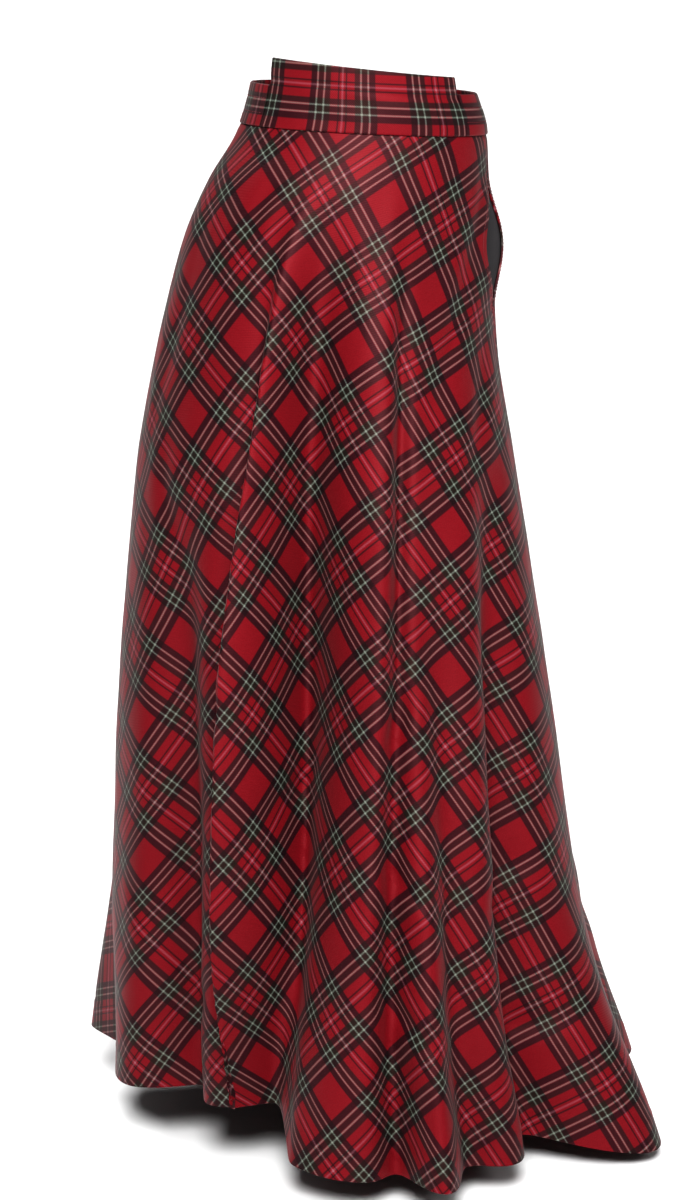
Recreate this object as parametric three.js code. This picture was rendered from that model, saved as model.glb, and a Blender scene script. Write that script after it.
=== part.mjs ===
// Long flared skirt, worn and hollow: a flat front waistband, a lower gathered elastic waistband
// behind, a front and a back skirt panel that hang in uneven flutes, and one side-seam pocket.
// Millimetres. +Z is up, the front faces -Y, and the origin is the middle of the waist,
// half way up the front waistband. Azimuth 0 is the centre front and 90 is the side towards +X.
import * as THREE from 'three';

// Cloth and seams
const CLOTH = 1.6;
const HEM_CLOTH = 3.0;
const HEM_TURN = 28;
const HEM_STEP_SHARE = 0.002;
const SEAM_GAP = 0.3;
const NORMAL_STEP = 0.002;
const NORMAL_ANGLE = 0.2;
const FOLD_MIDDLE_GAP = 0.15;

// Rows and columns of the two skirt panels
const UPPER_SHARE = 0.19;
const UPPER_ROWS = 8;
const LOWER_ROWS = 10;
const FRONT_COLUMNS = 68;
const BACK_COLUMNS = 64;
const ROW_SAMPLES = 500;

// Waist
const WAIST_Z = -31;
const WAIST_REACH = 122;
const BAND_MIDDLE_REACH = 109;
const WAIST_TILT = 0.047;
const BAND_TOP_Z = 30;
const BAND_TOP_TILT = 0.105;
const BAND_PROUD = 1.0;
const FRONT_BAND_CLOTH = 3.0;
const FRONT_BAND_END = 55;
const FRONT_BAND_COLUMNS = 24;
const BACK_BAND_HEIGHT = 40;
const BAND_MIDDLE = 20;
const BAND_EDGE = 2;
const BACK_BAND_CLOTH = 3.6;
const BACK_BAND_COLUMNS = 96;
const BAND_BEVEL = 0.8;

// Gathers of the elastic waistband, which run on into the top of the back panel
const GATHERS = 16;
const GATHER_START = 91;
const GATHER_RISE = 2.2;
const GATHER_FADE_ANGLE = 14;
const GATHER_RUN = 0.09;

// Side seams and the pocket mouth between the two panels on the +X side
const LEFT_SEAM = -91;
const POCKET_TOP = -72;
const POCKET_BOTTOM = -212;
const MOUTH_FRONT_ANGLE = 8;
const MOUTH_BACK_ANGLE = 9;
const MOUTH_BULGE = 11;
const MOUTH_BULGE_ANGLE = 15;

// Pocket bag
const BAG_CLOTH = 1.1;
const BAG_CLEARANCE = 2.1;
const BAG_END_ANGLE = 40;
const BAG_TUCK_ANGLE = 1.6;
const BAG_INNER_END = 0.95;

// The garment's outline: how far it reaches to each side at each height, before its folds
const sections = [
  { z: -1040, left: -273, right: 282, front: -282, back: 226 },
  { z: -1000, left: -270, right: 272, front: -276, back: 220 },
  { z: -880, left: -262, right: 238, front: -258, back: 202 },
  { z: -750, left: -254, right: 214, front: -238, back: 184 },
  { z: -600, left: -247, right: 193, front: -215, back: 168 },
  { z: -450, left: -235, right: 168, front: -190, back: 156 },
  { z: -350, left: -224, right: 152, front: -170, back: 150 },
  { z: -250, left: -206, right: 136, front: -148, back: 144 },
  { z: -180, left: -189, right: 131, front: -133, back: 136 },
  { z: -130, left: -174, right: 128, front: -122, back: 126 },
  { z: -80, left: -151, right: 125, front: -110, back: 113 },
  { z: WAIST_Z, left: -WAIST_REACH, right: WAIST_REACH, front: -96, back: 96 },
  { z: 12, left: -BAND_MIDDLE_REACH, right: BAND_MIDDLE_REACH, front: -92, back: 91 },
  { z: 45, left: -104, right: 104, front: -90, back: 88 },
];

// Height of the hem round the garment
const hemHeights = [
  { azimuth: -150, z: -996 },
  { azimuth: -112, z: -985 },
  { azimuth: -75, z: -978 },
  { azimuth: -50, z: -975 },
  { azimuth: -22, z: -974 },
  { azimuth: -12, z: -1008 },
  { azimuth: 13, z: -1016 },
  { azimuth: 43, z: -1014 },
  { azimuth: 63, z: -1034 },
  { azimuth: 90, z: -1022 },
  { azimuth: 150, z: -1006 },
];

// Folds: hip, mid and hem are azimuths; hipOut, midOut and hemOut are how far the fold stands out
// (or in, below zero); start is the share of the length where it begins; before and after are its
// half-widths in degrees; lean pushes it sideways by a share of how far it stands out.
const FOLD_SHARES = { hip: 0.25, mid: 0.6, hem: 1 };
const folds = [
  { name: 'left ridge', hip: -14.5, mid: -22.5, hem: -27, start: 0.06, hipOut: 13, midOut: 22, hemOut: 20, before: 4.5, after: 7, lean: -1.1 },
  { name: 'left tuck', hip: -21, mid: -30, hem: -35, start: 0.12, hipOut: -4, midOut: -14, hemOut: -16, before: 6, after: 4, lean: -0.3 },
  { name: 'main valley', hip: -4, mid: -9.5, hem: -14, start: 0.06, hipOut: -36, midOut: -70, hemOut: -40, before: 7, after: 10, lean: 0 },
  { name: 'lower valley', hip: -8, mid: -12, hem: -22, start: 0.6, hipOut: 0, midOut: -4, hemOut: -70, before: 12, after: 4.2, lean: 0 },
  { name: 'front lobe', hip: -2, mid: -2, hem: -10, start: 0.5, hipOut: 0, midOut: 4, hemOut: 26, before: 6, after: 13, lean: -0.8 },
  { name: 'front ridge', hip: 19, mid: 13, hem: 5, start: 0.05, hipOut: 10, midOut: 14, hemOut: 4, before: 8, after: 5, lean: 0 },
  { name: 'front pinch', hip: 25, mid: 15, hem: 7.5, start: 0.12, hipOut: -10, midOut: -19, hemOut: -26, before: 3, after: 2.8, lean: 0 },
  { name: 'front flute', hip: 25, mid: 22, hem: 14, start: 0.42, hipOut: 0, midOut: 9, hemOut: 42, before: 5.2, after: 5.4, lean: 0.1 },
  { name: 'flute foot', hip: 32, mid: 27, hem: 22, start: 0.45, hipOut: 0, midOut: -8, hemOut: -18, before: 4, after: 6, lean: 0 },
  { name: 'right ridge', hip: 50, mid: 37, hem: 33, start: 0.12, hipOut: 2, midOut: 7, hemOut: 8, before: 8, after: 7, lean: 0 },
  { name: 'right valley', hip: 58, mid: 50, hem: 44, start: 0.3, hipOut: 0, midOut: -32, hemOut: -52, before: 7, after: 8, lean: 0 },
  { name: 'right corner', hip: 74, mid: 70, hem: 64, start: 0.55, hipOut: 0, midOut: 3, hemOut: 48, before: 10, after: 13, lean: 0.1 },
  { name: 'left lower valley', hip: -46, mid: -46, hem: -49, start: 0.36, hipOut: 0, midOut: -34, hemOut: -66, before: 9, after: 8, lean: 0.1 },
  { name: 'left seam valley', hip: -92, mid: -94, hem: -93, start: 0.6, hipOut: 0, midOut: 0, hemOut: -24, before: 6, after: 17, lean: 0 },
  { name: 'left back flute', hip: -106, mid: -108, hem: -111, start: 0.55, hipOut: 0, midOut: 6, hemOut: 38, before: 8, after: 7, lean: 0.1 },
  { name: 'right seam valley', hip: 96, mid: 96, hem: 94, start: 0.5, hipOut: 0, midOut: -6, hemOut: -26, before: 9, after: 8, lean: 0 },
  { name: 'back flute 1', hip: 112, mid: 114, hem: 112, start: 0.3, hipOut: 0, midOut: 12, hemOut: 38, before: 8, after: 9, lean: 0.15 },
  { name: 'back valley 1', hip: 126, mid: 128, hem: 129, start: 0.26, hipOut: 0, midOut: -14, hemOut: -34, before: 8, after: 7, lean: 0 },
  { name: 'back flute 2', hip: 144, mid: 145, hem: 147, start: 0.2, hipOut: 2, midOut: 17, hemOut: 46, before: 9, after: 8, lean: -0.15 },
  { name: 'back valley 2', hip: 163, mid: 163, hem: 164, start: 0.34, hipOut: 0, midOut: -12, hemOut: -30, before: 7, after: 9, lean: 0 },
  { name: 'back flute 3', hip: 180, mid: 181, hem: 183, start: 0.42, hipOut: 0, midOut: 10, hemOut: 36, before: 9, after: 7, lean: 0.1 },
  { name: 'back valley 3', hip: 196, mid: 198, hem: 199, start: 0.22, hipOut: -2, midOut: -19, hemOut: -40, before: 6, after: 8, lean: 0 },
  { name: 'back flute 4', hip: 213, mid: 214, hem: 215, start: 0.16, hipOut: 4, midOut: 18, hemOut: 44, before: 8, after: 10, lean: 0.2 },
  { name: 'back valley 4', hip: 230, mid: 231, hem: 232, start: 0.38, hipOut: 0, midOut: -12, hemOut: -28, before: 8, after: 7, lean: 0 },
];

// Azimuth of the side seam on the +X side at each height
const rightSeam = [
  { z: -1040, azimuth: 91 },
  { z: -600, azimuth: 91 },
  { z: -350, azimuth: 88 },
  { z: -260, azimuth: 82 },
  { z: -150, azimuth: 77 },
  { z: -80, azimuth: 80 },
  { z: -25, azimuth: 85 },
];

// Pocket bag from its mouth to its closed end: share of its length, the heights of its top and
// bottom, how far apart its two leaves are, and how much of the mouth's width is left
const bagRings = [
  { share: 0, top: -80, bottom: -204, apart: 0, spread: 1 },
  { share: 0.22, top: -76, bottom: -222, apart: 17, spread: 0.35 },
  { share: 0.5, top: -72, bottom: -248, apart: 18, spread: 0.1 },
  { share: 0.8, top: -80, bottom: -252, apart: 14, spread: 0 },
  { share: 0.95, top: -104, bottom: -236, apart: 9, spread: 0 },
  { share: 1, top: -140, bottom: -200, apart: 4, spread: 0 },
];

// Finish of each piece, as seen from a step away
const tartanRed = new THREE.MeshStandardMaterial({ color: 0x8c1622, roughness: 0.9, metalness: 0 });
const bandRed = new THREE.MeshStandardMaterial({ color: 0x7a1a22, roughness: 0.9, metalness: 0 });
const bagBlack = new THREE.MeshStandardMaterial({ color: 0x1c1a1b, roughness: 0.85, metalness: 0 });

const radians = THREE.MathUtils.degToRad;

// Smooth value at x through the points xs, ys, with no overshoot between them
function throughPoints(xs, ys, x) {
  const last = xs.length - 1;
  const slopes = [];
  for (let i = 0; i < last; i += 1) slopes.push((ys[i + 1] - ys[i]) / (xs[i + 1] - xs[i]));
  const tangentAt = (i) => {
    if (i === 0) return slopes[0];
    if (i === last) return slopes[last - 1];
    if (slopes[i - 1] * slopes[i] <= 0) return 0;
    return (2 * slopes[i - 1] * slopes[i]) / (slopes[i - 1] + slopes[i]);
  };
  const at = THREE.MathUtils.clamp(x, xs[0], xs[last]);
  let k = 0;
  while (k < last - 1 && at > xs[k + 1]) k += 1;
  const width = xs[k + 1] - xs[k];
  const t = (at - xs[k]) / width;
  const rise = tangentAt(k) * width * t * (1 - t) ** 2 - tangentAt(k + 1) * width * t * t * (1 - t);
  return ys[k] * (1 + 2 * t) * (1 - t) ** 2 + ys[k + 1] * t * t * (3 - 2 * t) + rise;
}

// Column of a table at x, where the rows are in rising order of the key
function fromTable(rows, key, column, x) {
  return throughPoints(rows.map((row) => row[key]), rows.map((row) => row[column]), x);
}

function nearTurn(angle, centre) {
  return angle - 360 * Math.round((angle - centre) / 360);
}

function hemHeight(azimuth) {
  const first = hemHeights[0];
  const last = hemHeights[hemHeights.length - 1];
  const round = [
    { azimuth: last.azimuth - 360, z: last.z },
    ...hemHeights,
    { azimuth: first.azimuth + 360, z: first.z },
  ];
  return fromTable(round, 'azimuth', 'z', nearTurn(azimuth, 30));
}

function waistHeight(azimuth) {
  return WAIST_Z - WAIST_TILT * WAIST_REACH * Math.sin(radians(azimuth));
}

// Plain oval of the garment at one height: a point on it, its outward direction and its sideways one
function ovalPoint(azimuth, z) {
  const [left, right, front, back] = ['left', 'right', 'front', 'back']
    .map((side) => fromTable(sections, 'z', side, z));
  const halfWidth = (right - left) / 2;
  const halfDepth = (back - front) / 2;
  const sine = Math.sin(radians(azimuth));
  const cosine = Math.cos(radians(azimuth));
  const along = new THREE.Vector3(halfWidth * cosine, halfDepth * sine, 0).normalize();
  return {
    point: new THREE.Vector3((left + right) / 2 + halfWidth * sine, (front + back) / 2 - halfDepth * cosine, z),
    along,
    out: new THREE.Vector3(along.y, -along.x, 0),
  };
}

// How far one fold moves the cloth out at this azimuth and share of the length
function foldOut(fold, azimuth, share) {
  const shares = [FOLD_SHARES.hip, FOLD_SHARES.mid, FOLD_SHARES.hem];
  const centre = throughPoints(shares, [fold.hip, fold.mid, fold.hem], share);
  const fromHip = fold.start < FOLD_SHARES.hip;
  const middle = Math.max(FOLD_SHARES.mid, fold.start + FOLD_MIDDLE_GAP);
  const places = [fold.start, ...(fromHip ? [FOLD_SHARES.hip] : []), middle, 1];
  const depths = [0, ...(fromHip ? [fold.hipOut] : []), fold.midOut, fold.hemOut];
  const depth = throughPoints(places, depths, share);
  const away = nearTurn(azimuth, centre) - centre;
  return depth * Math.exp(-((away / (away < 0 ? fold.before : fold.after)) ** 2));
}

// Share of the gathers' height at this azimuth: full behind, and none in front of the side seams
function gatherWave(azimuth) {
  const turn = nearTurn(azimuth, 180);
  const place = (turn - GATHER_START) / (360 - 2 * GATHER_START);
  const inside = Math.min(turn - GATHER_START, 360 - GATHER_START - turn);
  const strength = THREE.MathUtils.smoothstep(inside, 0, GATHER_FADE_ANGLE);
  const uneven = 0.75 + 0.25 * Math.sin(place * 31 + 1);
  return strength * uneven * Math.sin(2 * Math.PI * (GATHERS * place + 0.35 * Math.sin(place * 17)));
}

function mouthOpen(z) {
  const place = THREE.MathUtils.clamp((z - POCKET_BOTTOM) / (POCKET_TOP - POCKET_BOTTOM), 0, 1);
  return Math.sin(Math.PI * place) ** 2;
}

function seamAngles(z) {
  const centre = fromTable(rightSeam, 'z', 'azimuth', z);
  const open = mouthOpen(z);
  return { front: centre - MOUTH_FRONT_ANGLE * open, back: centre + MOUTH_BACK_ANGLE * open };
}

function skirtHeight(azimuth, share) {
  return THREE.MathUtils.lerp(waistHeight(azimuth) - SEAM_GAP, hemHeight(azimuth), share);
}

// Outer face of the skirt at an azimuth and a share of the way from the waist seam to the hem
function skirtPoint(azimuth, share) {
  const z = skirtHeight(azimuth, share);
  const { point, along, out } = ovalPoint(azimuth, z);
  let outward = 0;
  let sideways = 0;
  for (const fold of folds) {
    const move = foldOut(fold, azimuth, share);
    outward += move;
    sideways += move * fold.lean;
  }
  const bulgeAway = (nearTurn(azimuth, seamAngles(z).back) - seamAngles(z).back) / MOUTH_BULGE_ANGLE;
  outward += MOUTH_BULGE * mouthOpen(z) * Math.exp(-(bulgeAway ** 2));
  outward += GATHER_RISE * gatherWave(azimuth) * Math.max(0, 1 - share / GATHER_RUN) ** 2;
  return point.addScaledVector(out, outward).addScaledVector(along, sideways);
}

// Outward unit direction of a face given by two numbers
function faceNormal(face, u, v, uStep) {
  const acrossU = face(u + uStep, v).sub(face(u - uStep, v));
  const acrossV = face(u, v + NORMAL_STEP).sub(face(u, v - NORMAL_STEP));
  return acrossV.cross(acrossU).normalize();
}

function skirtNormal(azimuth, share) {
  const safeShare = THREE.MathUtils.clamp(share, 2 * NORMAL_STEP, 1 - 2 * NORMAL_STEP);
  return faceNormal(skirtPoint, azimuth, safeShare, NORMAL_ANGLE);
}

// Share of the length at which a panel is at a given height
function shareAtHeight(azimuth, z) {
  return (z - waistHeight(azimuth) + SEAM_GAP) / (hemHeight(azimuth) - waistHeight(azimuth) + SEAM_GAP);
}

function namedMesh(name, geometry, material) {
  geometry.computeVertexNormals();
  const mesh = new THREE.Mesh(geometry, material);
  mesh.name = name;
  return mesh;
}

// Closed wall between an outer and an inner face, both given at columns and rows
function wallGeometry(columns, rows, outerAt, innerAt) {
  const positions = [];
  for (const faceAt of [outerAt, innerAt]) {
    for (let i = 0; i <= columns; i += 1) {
      for (let j = 0; j <= rows; j += 1) positions.push(...faceAt(i, j).toArray());
    }
  }
  const outer = (i, j) => i * (rows + 1) + j;
  const inner = (i, j) => (columns + 1) * (rows + 1) + outer(i, j);
  const index = [];
  const quad = (a, b, c, d) => index.push(a, b, c, a, c, d);
  for (let i = 0; i < columns; i += 1) {
    for (let j = 0; j < rows; j += 1) {
      quad(outer(i, j), outer(i, j + 1), outer(i + 1, j + 1), outer(i + 1, j));
      quad(inner(i, j), inner(i + 1, j), inner(i + 1, j + 1), inner(i, j + 1));
    }
    quad(outer(i, 0), outer(i + 1, 0), inner(i + 1, 0), inner(i, 0));
    quad(outer(i, rows), inner(i, rows), inner(i + 1, rows), outer(i + 1, rows));
  }
  for (let j = 0; j < rows; j += 1) {
    quad(outer(0, j), inner(0, j), inner(0, j + 1), outer(0, j + 1));
    quad(outer(columns, j), outer(columns, j + 1), inner(columns, j + 1), inner(columns, j));
  }
  const geometry = new THREE.BufferGeometry();
  geometry.setAttribute('position', new THREE.Float32BufferAttribute(positions, 3));
  geometry.setIndex(index);
  return geometry;
}

// Closed bag between an outer and an inner face, both round in j and closed at their last ring
function bagGeometry(rings, around, outerAt, innerAt) {
  const positions = [];
  const end = [];
  for (const faceAt of [outerAt, innerAt]) {
    const middle = new THREE.Vector3();
    for (let i = 0; i <= rings; i += 1) {
      for (let j = 0; j < around; j += 1) {
        const point = faceAt(i, j);
        positions.push(...point.toArray());
        if (i === rings) middle.addScaledVector(point, 1 / around);
      }
    }
    end.push(middle);
  }
  const outer = (i, j) => i * around + (j % around);
  const inner = (i, j) => (rings + 1) * around + outer(i, j);
  const outerEnd = 2 * (rings + 1) * around;
  const innerEnd = outerEnd + 1;
  positions.push(...end[0].toArray(), ...end[1].toArray());
  const index = [];
  const quad = (a, b, c, d) => index.push(a, b, c, a, c, d);
  for (let j = 0; j < around; j += 1) {
    for (let i = 0; i < rings; i += 1) {
      quad(outer(i, j), outer(i + 1, j), outer(i + 1, j + 1), outer(i, j + 1));
      quad(inner(i, j), inner(i, j + 1), inner(i + 1, j + 1), inner(i + 1, j));
    }
    quad(outer(0, j), outer(0, j + 1), inner(0, j + 1), inner(0, j));
    index.push(outer(rings, j), outerEnd, outer(rings, j + 1));
    index.push(inner(rings, j), inner(rings, j + 1), innerEnd);
  }
  const geometry = new THREE.BufferGeometry();
  geometry.setAttribute('position', new THREE.Float32BufferAttribute(positions, 3));
  geometry.setIndex(index);
  return geometry;
}

// Azimuths that part one row of a panel into equal lengths of cloth
function evenColumns(from, to, count, share) {
  const lengths = [0];
  let before = skirtPoint(from, share);
  for (let k = 1; k <= ROW_SAMPLES; k += 1) {
    const here = skirtPoint(THREE.MathUtils.lerp(from, to, k / ROW_SAMPLES), share);
    lengths.push(lengths[k - 1] + here.distanceTo(before));
    before = here;
  }
  const columns = [];
  for (let i = 0, k = 0; i <= count; i += 1) {
    const goal = (lengths[ROW_SAMPLES] * i) / count;
    while (k < ROW_SAMPLES - 1 && lengths[k + 1] < goal) k += 1;
    const part = (goal - lengths[k]) / (lengths[k + 1] - lengths[k]);
    columns.push(THREE.MathUtils.lerp(from, to, (k + part) / ROW_SAMPLES));
  }
  return columns;
}

// Shares of the length for the rows of a panel: closer beside the pocket mouth, and a step at the
// turned-up hem
function panelRows() {
  const turn = 1 - HEM_TURN / (WAIST_Z - hemHeight(0));
  const rows = [];
  for (let j = 0; j < UPPER_ROWS; j += 1) rows.push((UPPER_SHARE * j) / UPPER_ROWS);
  for (let j = 0; j <= LOWER_ROWS; j += 1) {
    rows.push(THREE.MathUtils.lerp(UPPER_SHARE, turn, j / LOWER_ROWS));
  }
  return [...rows, turn + HEM_STEP_SHARE, 1];
}

// One skirt panel, cut to the azimuths that fromEdge and toEdge give at each height
function panelGeometry(columns, fromEdge, toEdge) {
  const rows = panelRows();
  const azimuths = rows.map((share) => {
    const from = fromEdge(skirtHeight(fromEdge(WAIST_Z), share));
    const to = toEdge(skirtHeight(toEdge(WAIST_Z), share));
    return evenColumns(from, to, columns, share);
  });
  const outerAt = (i, j) => skirtPoint(azimuths[j][i], rows[j]);
  const innerAt = (i, j) => {
    const thick = j >= rows.length - 2 ? HEM_CLOTH : CLOTH;
    return outerAt(i, j).addScaledVector(skirtNormal(azimuths[j][i], rows[j]), -thick);
  };
  return wallGeometry(columns, rows.length - 1, outerAt, innerAt);
}

// Half of the seam gap as an angle at a height
function gapAngle(z) {
  const reach = (fromTable(sections, 'z', 'right', z) - fromTable(sections, 'z', 'left', z)) / 2;
  return THREE.MathUtils.radToDeg(SEAM_GAP / reach);
}

function skirtFront() {
  const leftEdge = (z) => LEFT_SEAM + gapAngle(z);
  const rightEdge = (z) => seamAngles(z).front - gapAngle(z);
  return namedMesh('skirt_front', panelGeometry(FRONT_COLUMNS, leftEdge, rightEdge), tartanRed);
}

function skirtBack() {
  const rightEdge = (z) => seamAngles(z).back + gapAngle(z);
  const leftEdge = (z) => 360 + LEFT_SEAM - gapAngle(z);
  return namedMesh('skirt_back', panelGeometry(BACK_COLUMNS, rightEdge, leftEdge), tartanRed);
}

// Outer face of a waistband: azimuth, height above the waist seam and extra rise of the cloth
function bandPoint(azimuth, height, rise) {
  const { point, out } = ovalPoint(azimuth, waistHeight(azimuth) + height);
  return point.addScaledVector(out, BAND_PROUD + rise);
}

function bandGeometry(from, to, columns, heightsAt, thickness, riseAt) {
  const last = heightsAt(from).length - 1;
  const place = (i, j) => {
    const azimuth = THREE.MathUtils.lerp(from, to, i / columns);
    return { azimuth, height: heightsAt(azimuth)[j] };
  };
  const bevelAt = (j) => (j === 0 || j === last ? BAND_BEVEL : 0);
  const outerAt = (i, j) => {
    const { azimuth, height } = place(i, j);
    return bandPoint(azimuth, height, riseAt(azimuth) - bevelAt(j));
  };
  const innerAt = (i, j) => {
    const { azimuth, height } = place(i, j);
    return bandPoint(azimuth, height, bevelAt(j) - thickness);
  };
  return wallGeometry(columns, last, outerAt, innerAt);
}

// Heights of a waistband's rows above the waist seam: the back one's, and the front one's above them
const backBandHeights = [BACK_BAND_HEIGHT, BACK_BAND_HEIGHT - BAND_EDGE, BAND_MIDDLE, BAND_EDGE, 0];

function frontBandHeights(azimuth) {
  const topZ = BAND_TOP_Z - BAND_TOP_TILT * BAND_MIDDLE_REACH * Math.sin(radians(azimuth));
  const top = topZ - waistHeight(azimuth);
  return [top, top - BAND_EDGE, ...backBandHeights];
}

function waistbandFront() {
  const end = FRONT_BAND_END - gapAngle(0);
  const geometry = bandGeometry(-end, end, FRONT_BAND_COLUMNS, frontBandHeights, FRONT_BAND_CLOTH, () => 0);
  return namedMesh('waistband_front', geometry, bandRed);
}

function waistbandBack() {
  const end = FRONT_BAND_END + gapAngle(0);
  const rise = (azimuth) => GATHER_RISE * gatherWave(azimuth);
  const heights = () => backBandHeights;
  const geometry = bandGeometry(end, 360 - end, BACK_BAND_COLUMNS, heights, BACK_BAND_CLOTH, rise);
  return namedMesh('waistband_back', geometry, bandRed);
}

// Point of the pocket bag: share of its length from the mouth, and angle round it
function bagPoint(share, angle) {
  const [top, bottom, apart, spread] = ['top', 'bottom', 'apart', 'spread']
    .map((column) => fromTable(bagRings, 'share', column, share));
  const z = (top + bottom) / 2 + ((top - bottom) / 2) * Math.cos(angle);
  const seam = seamAngles(z);
  const mouthCentre = (seam.front + seam.back) / 2;
  const mouthHalf = (seam.back - seam.front) / 2 + BAG_TUCK_ANGLE;
  const centre = THREE.MathUtils.lerp(mouthCentre, BAG_END_ANGLE, share);
  const azimuth = centre - spread * mouthHalf * Math.sin(angle);
  const lengthShare = shareAtHeight(azimuth, z);
  const inward = CLOTH + BAG_CLEARANCE + (apart * (1 - Math.sin(angle))) / 2;
  return skirtPoint(azimuth, lengthShare).addScaledVector(skirtNormal(azimuth, lengthShare), -inward);
}

function pocketBag() {
  const rings = 10;
  const around = 24;
  const angleAt = (j) => (2 * Math.PI * j) / around;
  const outerAt = (i, j) => bagPoint(i / rings, angleAt(j));
  const innerAt = (i, j) => {
    const share = THREE.MathUtils.clamp((BAG_INNER_END * i) / rings, 0, BAG_INNER_END);
    const safe = Math.max(share, 2 * NORMAL_STEP);
    const normal = faceNormal(bagPoint, safe, angleAt(j), NORMAL_STEP);
    return bagPoint(share, angleAt(j)).addScaledVector(normal, BAG_CLOTH);
  };
  return namedMesh('pocket_bag', bagGeometry(rings, around, outerAt, innerAt), bagBlack);
}

const group = new THREE.Group();
group.add(waistbandFront(), waistbandBack(), skirtFront(), skirtBack(), pocketBag());
export default group;
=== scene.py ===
import math
from typing import NamedTuple

import bpy
import numpy as np
from bpy.props import FloatProperty, FloatVectorProperty, IntProperty, PointerProperty
from mathutils import Matrix, Vector


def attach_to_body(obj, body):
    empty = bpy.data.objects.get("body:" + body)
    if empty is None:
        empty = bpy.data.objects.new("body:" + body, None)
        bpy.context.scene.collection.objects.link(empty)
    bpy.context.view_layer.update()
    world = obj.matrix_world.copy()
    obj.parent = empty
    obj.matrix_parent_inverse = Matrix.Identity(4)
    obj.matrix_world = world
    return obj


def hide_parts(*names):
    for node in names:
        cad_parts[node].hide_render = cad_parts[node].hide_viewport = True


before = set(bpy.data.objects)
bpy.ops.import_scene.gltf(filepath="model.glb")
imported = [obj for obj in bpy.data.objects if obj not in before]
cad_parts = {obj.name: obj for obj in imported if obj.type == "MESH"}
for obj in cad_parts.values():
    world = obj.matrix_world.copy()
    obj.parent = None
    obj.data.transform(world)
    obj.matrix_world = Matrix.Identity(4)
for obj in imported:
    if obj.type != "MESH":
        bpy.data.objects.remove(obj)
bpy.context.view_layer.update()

bl_info = {
    "name": "Maxi skirt",
    "version": (1, 0, 0),
    "blender": (4, 5, 0),
    "location": "View3D > Sidebar > Skirt",
    "description": "Long flared skirt in a bias-cut wool check, dressed over its packed frame",
    "category": "Object",
}

# Sizes in this file are millimetres until a mesh is made, and angles are degrees. Azimuth 0 is the
# centre front and 90 is the side towards +X. A share is a part of the way from waist seam to hem.
MM = 0.001
PIXELS = (700, 1200)

# Cloth and seams
CLOTH = 1.6
HEM_CLOTH = 3.0
HEM_TURN = 28
SEAM_GAP = 0.3
FOLD_MIDDLE_GAP = 0.15
ROW_SAMPLES = 600

# Waist
WAIST_Z = -31
WAIST_REACH = 122
BAND_MIDDLE_REACH = 109
WAIST_TILT = 0.047
BAND_TOP_Z = 30
BAND_TOP_TILT = 0.105
BAND_PROUD = 1.0
FRONT_BAND_CLOTH = 3.0
FRONT_BAND_END = 55
BACK_BAND_HEIGHT = 40
BACK_BAND_CLOTH = 3.6

# Gathers of the elastic waistband, which run on into the top of the back panel
GATHERS = 16
GATHER_START = 91
GATHER_RISE = 2.2
GATHER_FADE_ANGLE = 14
GATHER_RUN = 0.09
# How unevenly high and how unevenly spaced they are, with the waves of both from side to side
GATHER_UNEVEN, GATHER_UNEVEN_WAVES = 0.25, 31
GATHER_SHIFT, GATHER_SHIFT_WAVES = 0.35, 17

# Side seams and the pocket mouth
LEFT_SEAM = -91
POCKET_TOP = -72
POCKET_BOTTOM = -212
MOUTH_FRONT_ANGLE = 8
MOUTH_BACK_ANGLE = 9
MOUTH_BULGE = 11
MOUTH_BULGE_ANGLE = 15

# Pocket bag
BAG_CLOTH = 1.1
BAG_CLEARANCE = 2.1
BAG_END_ANGLE = 40
BAG_TUCK_ANGLE = 1.6


class Section(NamedTuple):
    """How far the skirt reaches to each side at one height, before its folds."""
    z: float
    left: float
    right: float
    front: float
    back: float


SECTIONS = [
    Section(-1040, -273, 282, -282, 226),
    Section(-1000, -270, 272, -276, 220),
    Section(-880, -262, 238, -258, 202),
    Section(-750, -254, 214, -238, 184),
    Section(-600, -247, 193, -215, 168),
    Section(-450, -235, 168, -190, 156),
    Section(-350, -224, 152, -170, 150),
    Section(-250, -206, 136, -148, 144),
    Section(-180, -189, 131, -133, 136),
    Section(-130, -174, 128, -122, 126),
    Section(-80, -151, 125, -110, 113),
    Section(WAIST_Z, -WAIST_REACH, WAIST_REACH, -96, 96),
    Section(12, -BAND_MIDDLE_REACH, BAND_MIDDLE_REACH, -92, 91),
    Section(45, -104, 104, -90, 88),
]


class HemHeight(NamedTuple):
    azimuth: float
    z: float


HEM_HEIGHTS = [
    HemHeight(-150, -996),
    HemHeight(-112, -985),
    HemHeight(-75, -978),
    HemHeight(-50, -975),
    HemHeight(-22, -974),
    HemHeight(-12, -1008),
    HemHeight(13, -1016),
    HemHeight(43, -1014),
    HemHeight(63, -1034),
    HemHeight(90, -1022),
    HemHeight(150, -1006),
]


class Fold(NamedTuple):
    """A flute or valley. Hip, mid and hem are azimuths, start is the share where it begins, hip_out,
    mid_out and hem_out are how far it stands out, before and after are its half-widths in degrees,
    and lean pushes it sideways by a share of how far it stands out."""
    name: str
    hip: float
    mid: float
    hem: float
    start: float
    hip_out: float
    mid_out: float
    hem_out: float
    before: float
    after: float
    lean: float


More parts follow.
